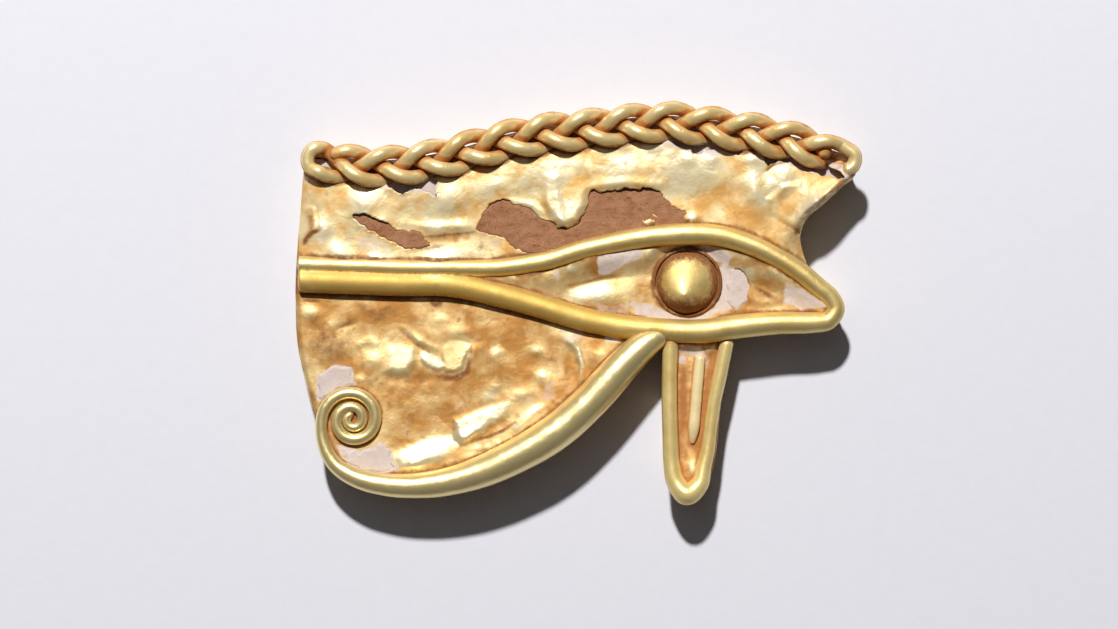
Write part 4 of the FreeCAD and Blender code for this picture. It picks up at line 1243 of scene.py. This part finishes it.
cheekFoil = {
    **anyFoil,
    "cell": 0.062, "low": (-12.9, -9.0), "high": (3.7, 1.0), "seed": 231, "sway": 0.07, "unevenness": 0.022,
    "crumples": (110, 0.7, 0.014), "spots": 0.4, "freckles": 0.35, "dullness": 0.20, "gapSeed": 51,
    "gapJag": 0.22, "gapLevels": (0.17, 0.17), "hem": 0.35, "lowHem": 0.08, "lowBelow": -4.5, "climb": 0.18,
    "gaps": [
        [(321, 377), (335, 367), (350, 369), (354, 383), (342, 386), (331, 390), (322, 396)],
        [(343, 449), (360, 453), (374, 449), (384, 446), (389, 455), (394, 467), (385, 471), (366, 468),
         (352, 461)]],
    "rises": [
        ((312, 314), (0.42, 0.34), 0.09, -15, 0.9), ((333, 325), (0.26, 0.24), 0.03, 0, 0.6),
        ((440, 318), (0.30, 0.22), 0.04, 0, 0.8), ((418, 341), (0.24, 0.22), 0.03, 0, 0.8),
        ((362, 380), (0.32, 0.24), 0.03, 0, 0.7), ((497, 354), (0.26, 0.28), 0.045, 0, 0.9),
        ((494, 387), (0.30, 0.24), 0.04, 0, 0.8), ((490, 397), (0.26, 0.18), 0.03, 0, 0.8),
        ((375, 360), (0.60, 0.45), 0.09, 10, 0.9), ((543, 378), (0.34, 0.32), 0.08, 0, 1.0),
        ((536, 351), (0.42, 0.20), 0.035, -8, 0.7), ((572, 340), (0.40, 0.24), 0.08, -20, 0.6),
        ((424, 458), (1.30, 0.55), 0.16, 14, 0.9), ((412, 464), (0.50, 0.35), 0.08, 0, 0.7),
        ((526, 418), (0.60, 0.20), 0.07, 32, 0.6), ((540, 408), (0.40, 0.16), 0.05, 32, 0.5),
        ((520, 428), (0.30, 0.16), 0.06, 32, 0.8), ((478, 448), (0.15, 0.12), 0.02, 0, 0.8),
        ((488, 446), (0.14, 0.10), 0.02, 0, 0.8), ((498, 442), (0.16, 0.11), 0.02, 0, 0.8),
        ((456, 332), (0.60, 0.26), 0.06, 0, 0.3), ((520, 395), (0.60, 0.30), 0.08, 15, 0.4),
        ((340, 345), (0.50, 0.50), 0.07, 0, 0.1), ((325, 345), (0.30, 0.80), 0.05, 0, 0.2),
        ((600, 356), (0.50, 0.40), 0.08, 25, 0.2)],
    "scraps": [
        ([(386, 345), (400, 340), (416, 347), (418, 360), (410, 374), (397, 377), (386, 371)],
         0.12, 88, 0.0, 0.36, 1.0),
        ([(420, 351), (433, 351), (442, 358), (446, 367), (438, 371), (427, 367), (420, 360)],
         0.13, 72, 0.0, 0.13, 1.0),
        ([(441, 346), (450, 340), (462, 340), (471, 345), (468, 356), (464, 369), (456, 373), (446, 371),
         (442, 358)], 0.10, 100, 0.0, 0.13, 0.40),
        ([(453, 419), (470, 413), (486, 407), (500, 401), (514, 398), (511, 409), (505, 418), (491, 425),
         (483, 433), (470, 441), (461, 444), (455, 438)], 0.12, 88, 0.0, 0.30, 1.0),
        ([(468, 348), (488, 343), (503, 362), (502, 376), (480, 380), (467, 370)],
         0.06, -85, 0.0, 0.22, -0.35),
        ([(392, 456), (410, 446), (432, 436), (456, 430), (462, 446), (446, 458), (418, 468), (400, 470)],
         0.05, 88, 0.0, 0.34, 0.8)],
    "folds": [
        ([(566, 338), (578, 350), (582, 365), (580, 380)], 0.11, 0.13, 0.9),
        ([(338, 330), (346, 325), (358, 322)], -0.06, 0.12, -0.3),
        ([(400, 330), (409, 338), (416, 344), (430, 353), (443, 363)], -0.05, 0.09, -0.2),
        ([(404, 326), (420, 340), (440, 350)], 0.05, 0.12, 0.3),
        ([(386, 378), (410, 380), (434, 378)], -0.05, 0.20, -0.3),
        ([(380, 345), (370, 340), (356, 345)], 0.04, 0.2, 0.2),
        ([(440, 376), (452, 379), (464, 374)], -0.06, 0.10, -0.4),
        ([(572, 350), (566, 364), (568, 378)], -0.05, 0.16, -0.5)],
    "stains": [
        # the second of these is a painted shadow of the lid wire's end
        ([(430, 301), (436, 305), (442, 301)], 0.95, 0.15), ([(303, 300), (322, 301)], 0.9, 0.09),
        # the first of these is painted shade in a small crease
        ([(336, 330), (345, 325), (359, 322)], 0.6, 0.09), ([(312, 330), (330, 345), (350, 350)], 0.48, 0.9),
        ([(430, 400), (455, 410), (480, 396)], 0.30, 0.6), ([(362, 311), (378, 315), (396, 310)], 0.6, 0.30),
        # a painted shadow under the tip of the V-shaped tab
        ([(434, 374), (444, 378), (457, 379), (467, 372), (471, 356)], 1.0, 0.14),
        ([(400, 330), (409, 338), (416, 344), (430, 353), (443, 363)], 0.62, 0.055),
        ([(470, 442), (480, 438), (492, 435), (505, 429), (517, 421)], 0.75, 0.10),
        # the second of these is painted shade below a lifted patch
        ([(474, 451), (486, 449), (495, 450)], 0.6, 0.08), ([(386, 379), (410, 382), (436, 379)], 0.35, 0.18),
        ([(546, 358), (560, 362)], 0.4, 0.20), ([(566, 366), (567, 378)], 0.45, 0.14),
        ([(440, 396), (442, 410)], 0.3, 0.15), ([(356, 300), (376, 318), (398, 300)], 0.5, 0.22)],
    "chalk": [
        ([(319, 376), (335, 364), (352, 367), (357, 384), (343, 388), (331, 391), (320, 399)], 0.9),
        ([(339, 446), (360, 450), (374, 446), (384, 443), (391, 454), (399, 469), (385, 474), (366, 471),
         (350, 463)], 1.0),
        ([(606, 334), (624, 334), (618, 342), (604, 343)], 0.8),
        ([(540, 380), (556, 378), (556, 392), (542, 392)], 0.4),
        ([(560, 328), (582, 330), (586, 342), (566, 342)], 0.5),
        ([(520, 392), (560, 380), (556, 398), (520, 410)], 0.35)],
}
dropFoil = {
    **anyFoil,
    "cell": 0.05, "low": (2.9, -9.0), "high": (7.2, -1.3), "bend": 0.22, "ripple": 0.02, "seed": 331,
    "sway": 0.02, "unevenness": 0.02, "crumples": (16, 0.4, 0.015), "spots": 0.2, "freckles": 0.2,
    "dullness": 0.10, "rimGrime": 0.3, "top": -1.70, "hem": 0.25, "scrapAt": 5.55, "scrapWide": 0.38,
    "scrapHigh": 0.50,
    "rises": [
        ((692, 470), (0.30, 0.50), 0.16, 0, 0.4), ((700, 489), (0.35, 0.24), 0.10, 15, 0.9),
        ((709, 350), (0.35, 0.20), 0.10, 12, 1.0), ((690, 343), (1.20, 0.22), 0.42, 3, 0.3)],
    "scraps": [],
    "folds": [([(684, 375), (683, 410), (686, 445)], -0.04, 0.16, -0.2)],
    "stains": [
        ([(683, 362), (683, 400), (684, 436)], 0.85, 0.26),
        ([(712, 352), (707, 385), (702, 412), (700, 440)], 0.85, 0.22),
        ([(686, 445), (684, 470)], 0.3, 0.16)],
    "chalk": [
        ([(662, 345), (700, 346), (706, 352), (704, 362), (688, 356), (676, 354), (664, 354)], 0.7),
        ([(676, 352), (686, 352), (686, 364), (678, 364)], 0.6),
        ([(698, 352), (708, 352), (706, 372), (698, 368)], 0.5)],
}
# The tears that show the core: outline, seed, raggedness, and the height of the core's crust in them.
coreOpenings = [(browFoil["tear"], 3, 0.22, 0.46), (browFoil["slit"], 5, 0.18, 0.50)]


def gapHoles(foil, x, y):
    return holes(foil["gaps"], x, y, foil["gapSeed"], foil["gapJag"])


def browHoles(x, y):
    tear, slit = (hole(outline, x, y, seed, jag) for outline, seed, jag, _ in coreOpenings)
    islands = holes(browFoil["islands"], x, y, 13, 0.12)
    return np.minimum.reduce([np.maximum(tear, -islands), slit, gapHoles(browFoil, x, y)])


def browEdge(x, y):
    wide = (x < browFoil["wideLeftOf"]) | (x > browFoil["wideRightOf"])
    hem = tray.nearest(x, y)[0] - lap(x, y, np.where(wide, browFoil["wideHem"], browFoil["hem"]), 11)
    return np.maximum.reduce([hem, np.interp(x, *upperLine) - y, -browHoles(x, y)])


def browHeight(x, y):
    # the foil is a low pillow, and swells up along the plait's lower side
    south = np.interp(x, *plaitLine) - 0.92 - y
    swell = smoothstep(-0.5, 0.1, south) * (1 - smoothstep(0.3, 2.3, south))
    belly = browFoil["belly"] * swell * (0.9 + 0.8 * lumps(x, y * 0.3, 1.8, 33, 2))
    rim = browFoil["rolledRim"] * ridge(x, y, rolledLine, 0.75)
    nearHole = np.exp(-np.maximum(browHoles(x, y), 0) / 0.14)
    lip = 0.05 * np.clip(0.5 + 2 * lumps(x, y, 1.3, 15, 2), 0, 1) * nearHole
    inward = smoothstep(0.0, 0.9, -tray.nearest(x, y)[0])
    pillow = browFoil["pillow"] * inward * smoothstep(-0.7, 0.0, south)
    return foilRest + 0.02 + relief(browFoil, x, y)[0] + (belly + rim) + lip + pillow


buildFoil("brow_foil", browFoil, browEdge, browHeight, browHoles, tray, foilGold)


def eyeHoles(x, y):
    return gapHoles(eyeFoil, x, y)


def eyeEdge(x, y):
    hem = tray.nearest(x, y)[0] - lap(x, y, eyeFoil["hem"], 43)
    inCheek = np.maximum(y - np.interp(x, *lowerLine), x - 3.55)
    return np.maximum.reduce([hem, y - np.interp(x, *upperLine), -inCheek, -eyeHoles(x, y)])


def eyeHeight(x, y):
    # the foil climbs toward the upper lid, except beside the pupil
    south = np.interp(x, *upperLine) - 0.42 - y
    fromPupil = np.hypot(x - pupilMiddle[0], y - pupilMiddle[1])
    climb = eyeFoil["climb"] * (1 - smoothstep(0.0, 1.2, south)) * smoothstep(1.4, 2.1, fromPupil)
    return foilRest + 0.01 + relief(eyeFoil, x, y)[0] + climb * (0.9 + 0.6 * lumps(x, y, 1.2, 45, 2))


buildFoil("eye_foil", eyeFoil, eyeEdge, eyeHeight, eyeHoles, tray, cheekGold)


def cheekHoles(x, y):
    return gapHoles(cheekFoil, x, y)


def cheekEdge(x, y):
    reach = np.where(y > cheekFoil["lowBelow"], cheekFoil["hem"], cheekFoil["lowHem"])
    hem = tray.nearest(x, y)[0] - lap(x, y, reach, 53)
    field = np.maximum(y - np.interp(x, *lowerLine), x - 3.5)
    return np.maximum.reduce([hem, field, -cheekHoles(x, y)])


def cheekHeight(x, y):
    # the foil climbs a little toward the long wire
    wire = paths["cheek_wire"][::4]
    run = runLength(wire[:, :2])
    away, along = nearestOn(wire[:, :2], x, y)
    free = away - np.interp(along, run / run[-1], wire[:, 3])
    climb = cheekFoil["climb"] * (1 - smoothstep(-0.1, 1.5, free)) * smoothstep(0.50, 0.60, along)
    return foilRest + 0.02 + relief(cheekFoil, x, y)[0] + climb * (0.8 + 0.8 * lumps(x, y, 1.5, 55, 2))


buildFoil("cheek_foil", cheekFoil, cheekEdge, cheekHeight, cheekHoles, tray, cheekGold)


def dropEdge(x, y):
    # one torn scrap reaches higher than the rest of the foil's top edge
    scrap = dropFoil["scrapHigh"] * np.exp(-((x - dropFoil["scrapAt"]) / dropFoil["scrapWide"]) ** 4)
    top = y - dropFoil["top"] + 0.3 * lumps(x, y, 0.5, 71, 2) - scrap
    return np.maximum(drop.nearest(x, y)[0] - lap(x, y, dropFoil["hem"], 72), top)


def dropHeight(x, y):
    return foilRest + 0.01 + relief(dropFoil, x, y)[0]


def noHoles(x, y):
    return np.full(np.shape(x), 9.0)


buildFoil("drop_foil", dropFoil, dropEdge, dropHeight, noHoles, drop, dropGold)
print("foils made")


def domedBoss():
    # a domed cap whose top lies toward the photograph's lower edge, with a long slope above it
    sides, radius = pupil["sides"], pupil["radius"]
    leanX, leanY = pupil["lean"]
    shares = np.sin(np.linspace(0.02, math.pi / 2, pupil["rings"]))
    rings = [(1.0, -0.02)] + [(share, None) for share in shares[::-1]]
    points = []
    for share, level in rings:
        for angle in circleAngles(sides):
            x, y, high = share * math.cos(angle), share * math.sin(angle), level
            if level is None:
                x, y = x - leanX * (1 - share * share), y - leanY * (1 - share * share)
                high = pupil["height"] * (1 - share ** pupil["flatness"]) ** pupil["shoulder"]
            points.append((radius * x, radius * y, high))
    points.append((-leanX * radius, -leanY * radius, pupil["height"]))
    points = np.array(points)
    faces = []
    for row in range(len(rings) - 1):
        for column in range(sides):
            after = (column + 1) % sides
            low, up = row * sides, (row + 1) * sides
            faces.append((low + column, low + after, up + after, up + column))
    last = (len(rings) - 1) * sides
    faces += [(last + column, last + (column + 1) % sides, len(points) - 1) for column in range(sides)]
    x, y = points[:, 0], points[:, 1]
    dents = 0.05 * lumps(x, y, 1.1, pupil["seed"], 2) + 0.015 * lumps(x, y, 0.35, 22, 2)
    points[:, 2] += dents * smoothstep(0.0, 0.35, points[:, 2])
    patches = lumps(x, y, 0.6, 23, 3)
    # painted shade: the boss is darkened round its foot and on its side away from the light
    foot = smoothstep(0.50 + 0.2 * patches, 0.96, np.hypot(x, y) / radius)
    shaded = smoothstep(0.10, 0.78, -y / radius + 0.3 * patches)
    values = {"grimeAndShade": np.clip(0.85 * np.maximum(foot, shaded), 0, 1), "dull": 0.4 * patches}
    made = makeObject("pupil_boss_domed", points + (*pupilMiddle, seat), faces, wireGold, values)
    finishPiece(made, "sheet_gold", "pupil_boss")


def collarRing():
    # the low ring that the boss is set in, with a worn rim
    inner, outer, high = pupil["radius"] + 0.02, pupil["collarRadius"], pupil["collarHeight"]
    profile = [
        (outer + 0.03, 0), (outer + 0.02, 0.10), (outer - 0.01, high * 0.75), (outer - 0.05, high),
        (inner + 0.05, high), (inner + 0.01, high * 0.8), (inner, 0.0)]
    sides, count = pupil["collarSides"], len(profile)
    points = np.array([
        (radius * math.cos(angle), radius * math.sin(angle), level)
        for angle in circleAngles(sides) for radius, level in profile])
    faces = []
    for column in range(sides):
        here, after = column * count, (column + 1) % sides * count
        for row in range(count):
            up = (row + 1) % count
            faces.append((here + row, after + row, after + up, here + up))
    points[:, 2] *= 1 + 0.9 * lumps(points[:, 0], points[:, 1], 0.6, 24, 3)
    patches = lumps(points[:, 0], points[:, 1], 0.5, 25, 3)
    # the ring is darkened all round, dirt together with painted shade round the boss's foot
    values = {"grimeAndShade": np.clip(0.75 + 0.8 * patches, 0, 1), "dull": patches}
    made = makeObject("pupil_collar_ring", points + (*pupilMiddle, seat), faces, wireGold, values)
    finishPiece(made, "sheet_gold", "pupil_collar")


domedBoss()
collarRing()
print("pupil made")


# The upright strips round the tray and the drop.
def dentedStrip(name, outline, node, seed):
    line = outline.points[::2]
    out = outline.out[::2].copy()
    for _ in range(4):
        out = (np.roll(out, 1, 0) + 2 * out + np.roll(out, -1, 0)) / 4
    out = unit(out)
    low, high = amulet["backTop"], amulet["stripTop"]
    levels = np.linspace(low, high, 22)
    rolled = [(-0.03, high + 0.015), (-0.10, high + 0.015)]
    profile = [(0.0, level) for level in levels] + rolled + [(-0.14, level) for level in levels[::-7]]
    run = np.arange(len(line)) * 0.08
    columns = []
    for shift, level in profile:
        inward = np.full(len(run), shift)
        if shift == 0:
            inward = np.minimum(0.07 * lumps(run, np.full(len(run), level), 1.5, seed, 3) - 0.015, 0.02)
        columns.append(np.column_stack([line + out * inward[:, None], np.full(len(line), level)]))
    points = np.stack(columns, axis=1)
    total, count = points.shape[:2]
    index = np.arange(total * count).reshape(total, count)
    after = np.roll(index, -1, 0)
    faces = np.stack([index, np.roll(index, -1, 1), np.roll(after, -1, 1), after], axis=2).reshape(-1, 4)
    if (np.cross(line, np.roll(line, -1, 0))).sum() > 0:
        faces = faces[:, ::-1]
    points = points.reshape(-1, 3)
    z = points[:, 2]
    patches = lumps(np.repeat(run, count), z * 1.5, 1.2, seed + 1, 3)
    foot = 0.5 * (1 - smoothstep(low, low + 0.35 + 0.5 * patches, z))
    values = {"grimeAndShade": np.clip(np.maximum(foot, patches * 1.4 - 0.1), 0, 1), "dull": 0.6 * patches}
    finishPiece(makeObject(name, points, faces.tolist(), sheetGold, values), "sheet_gold", node)


dentedStrip("edge_strip_dented", tray, "edge_strip", 81)
dentedStrip("drop_edge_strip_dented", drop, "drop_edge_strip", 85)
print("strips made")

# The broken surfaces in the tears, with loose grains on the core. Their skirt goes past the tear.
crust = {"cell": 0.055, "rest": 1.755, "thick": 0.05}
coreCrust = {**crust, "roughness": 0.10, "skirt": 0.16}
plasterCrust = {**crust, "roughness": 0.03, "skirt": 0.30}
looseGrains = {
    "density": 1.6e7, "size": 0.04, "seed": 4, "smallest": (0.4, 0.4, 0.3), "largest": (1.3, 1.1, 0.8),
    "unevenScale": 14000.0, "uneven": 0.07,
}


def brokenSurface(name, settings, openings, material, slot):
    # an uneven surface in openings of the foil, each given by its outline, seed, raggedness and height
    cell, skirt = settings["cell"], settings["skirt"]
    places, faces, count = [], [], 0
    for outline, seed, jag, level in openings:
        corners = fromPhoto(outline)
        (lowX, lowY), (highX, highY) = corners.min(0) - 0.8, corners.max(0) + 0.8
        x, y = np.meshgrid(np.arange(lowX, highX, cell), np.arange(lowY, highY, cell))
        away = hole(outline, x, y, seed, jag)
        rough = 0.6 * (0.5 + lumps(x, y, 0.9, 91, 4)) + np.maximum(0, lumps(x, y, 0.22, 92, 3) + 0.1)
        z = settings["rest"] + smoothstep(-skirt, 0.02, -away) * (level + settings["roughness"] * rough)
        keep = (away < skirt + 0.1) & (tray.nearest(x, y)[0] < -0.16)
        kept = keep[:-1, :-1] & keep[1:, :-1] & keep[:-1, 1:] & keep[1:, 1:]
        found = cellFaces(np.arange(x.size).reshape(x.shape), kept)
        used, compact = np.unique(found, return_inverse=True)
        places.append(np.column_stack([x.ravel(), y.ravel(), z.ravel()])[used])
        faces.append(compact.reshape(found.shape) + count)
        count += len(used)
    made = makeObject(name, np.vstack(places), np.vstack(faces).tolist(), material)
    return finishPiece(addWall(made, settings["thick"], -1), slot)


def grainTree():
    # loose grains scattered over a surface, each turned and sized on its own
    tree, given = startTree("loose_grains", {
        "Surface": ("Geometry", None), "Density": ("Float", 1.0), "Grain Size": ("Float", 0.0001),
        "Seed": ("Int", 1), "Finish": ("Material", None),
    }, "Grains")
    points = addStep(tree, "GeometryNodeDistributePointsOnFaces", {
        "Mesh": given["Surface"], "Density": given["Density"], "Seed": given["Seed"],
    })
    grain = addStep(tree, "GeometryNodeMeshIcoSphere", {"Radius": given["Grain Size"], "Subdivisions": 1})
    place = addStep(tree, "GeometryNodeInputPosition")
    links = {"Vector": place, "Scale": looseGrains["unevenScale"], "Detail": 1.0}
    wave = addNode(tree, "ShaderNodeTexNoise", links).outputs["Color"]
    uneven = addStep(tree, "ShaderNodeVectorMath", {0: wave, 1: (0.5, 0.5, 0.5)}, operation="SUBTRACT")
    links = {0: uneven, "Scale": looseGrains["uneven"] * mm}
    push = addStep(tree, "ShaderNodeVectorMath", links, operation="SCALE")
    broken = addStep(tree, "GeometryNodeSetPosition", {"Geometry": grain, "Offset": push})
    turn = addStep(tree, "FunctionNodeRandomValue", {1: (6.28, 6.28, 6.28)}, data_type="FLOAT_VECTOR")
    links = {0: looseGrains["smallest"], 1: looseGrains["largest"]}
    size = addStep(tree, "FunctionNodeRandomValue", links, data_type="FLOAT_VECTOR")
    placed = addStep(tree, "GeometryNodeInstanceOnPoints", {
        "Points": points, "Instance": broken, "Rotation": turn, "Scale": size,
    })
    return closeTree(tree, placed, given["Finish"])


coreSurface = brokenSurface("core_crust", coreCrust, coreOpenings, coreBrown, "core")
plasterOpenings = [
    (outline, foil["gapSeed"] + number, foil["gapJag"], level)
    for foil in (browFoil, eyeFoil, cheekFoil)
    for number, (outline, level) in enumerate(zip(foil["gaps"], foil["gapLevels"]))
]
brokenSurface("plaster_crust", plasterCrust, plasterOpenings, plasterPale, "plaster")
grains = addObject("core_grains", coreSurface.data.copy())
scatter = grains.modifiers.new("grains", "NODES")
scatter.node_group = grainTree()
setInputs(scatter, {
    "Density": looseGrains["density"], "Grain Size": looseGrains["size"] * mm, "Seed": looseGrains["seed"],
    "Finish": coreBrown,
})
finishPiece(applied(grains), "core")
print("core and plaster made")

# Finishes of the pieces that come from the CAD model as they are.
for node, material in (
    ("core_fill", coreBrown), ("drop_core", coreBrown), ("plaster_bed", plasterPale),
    ("drop_plaster_bed", plasterPale), ("back_sheet", sheetGold),
):
    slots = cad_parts[node].data.materials
    slots.clear()
    slots.append(material)
print("carried-over pieces finished")
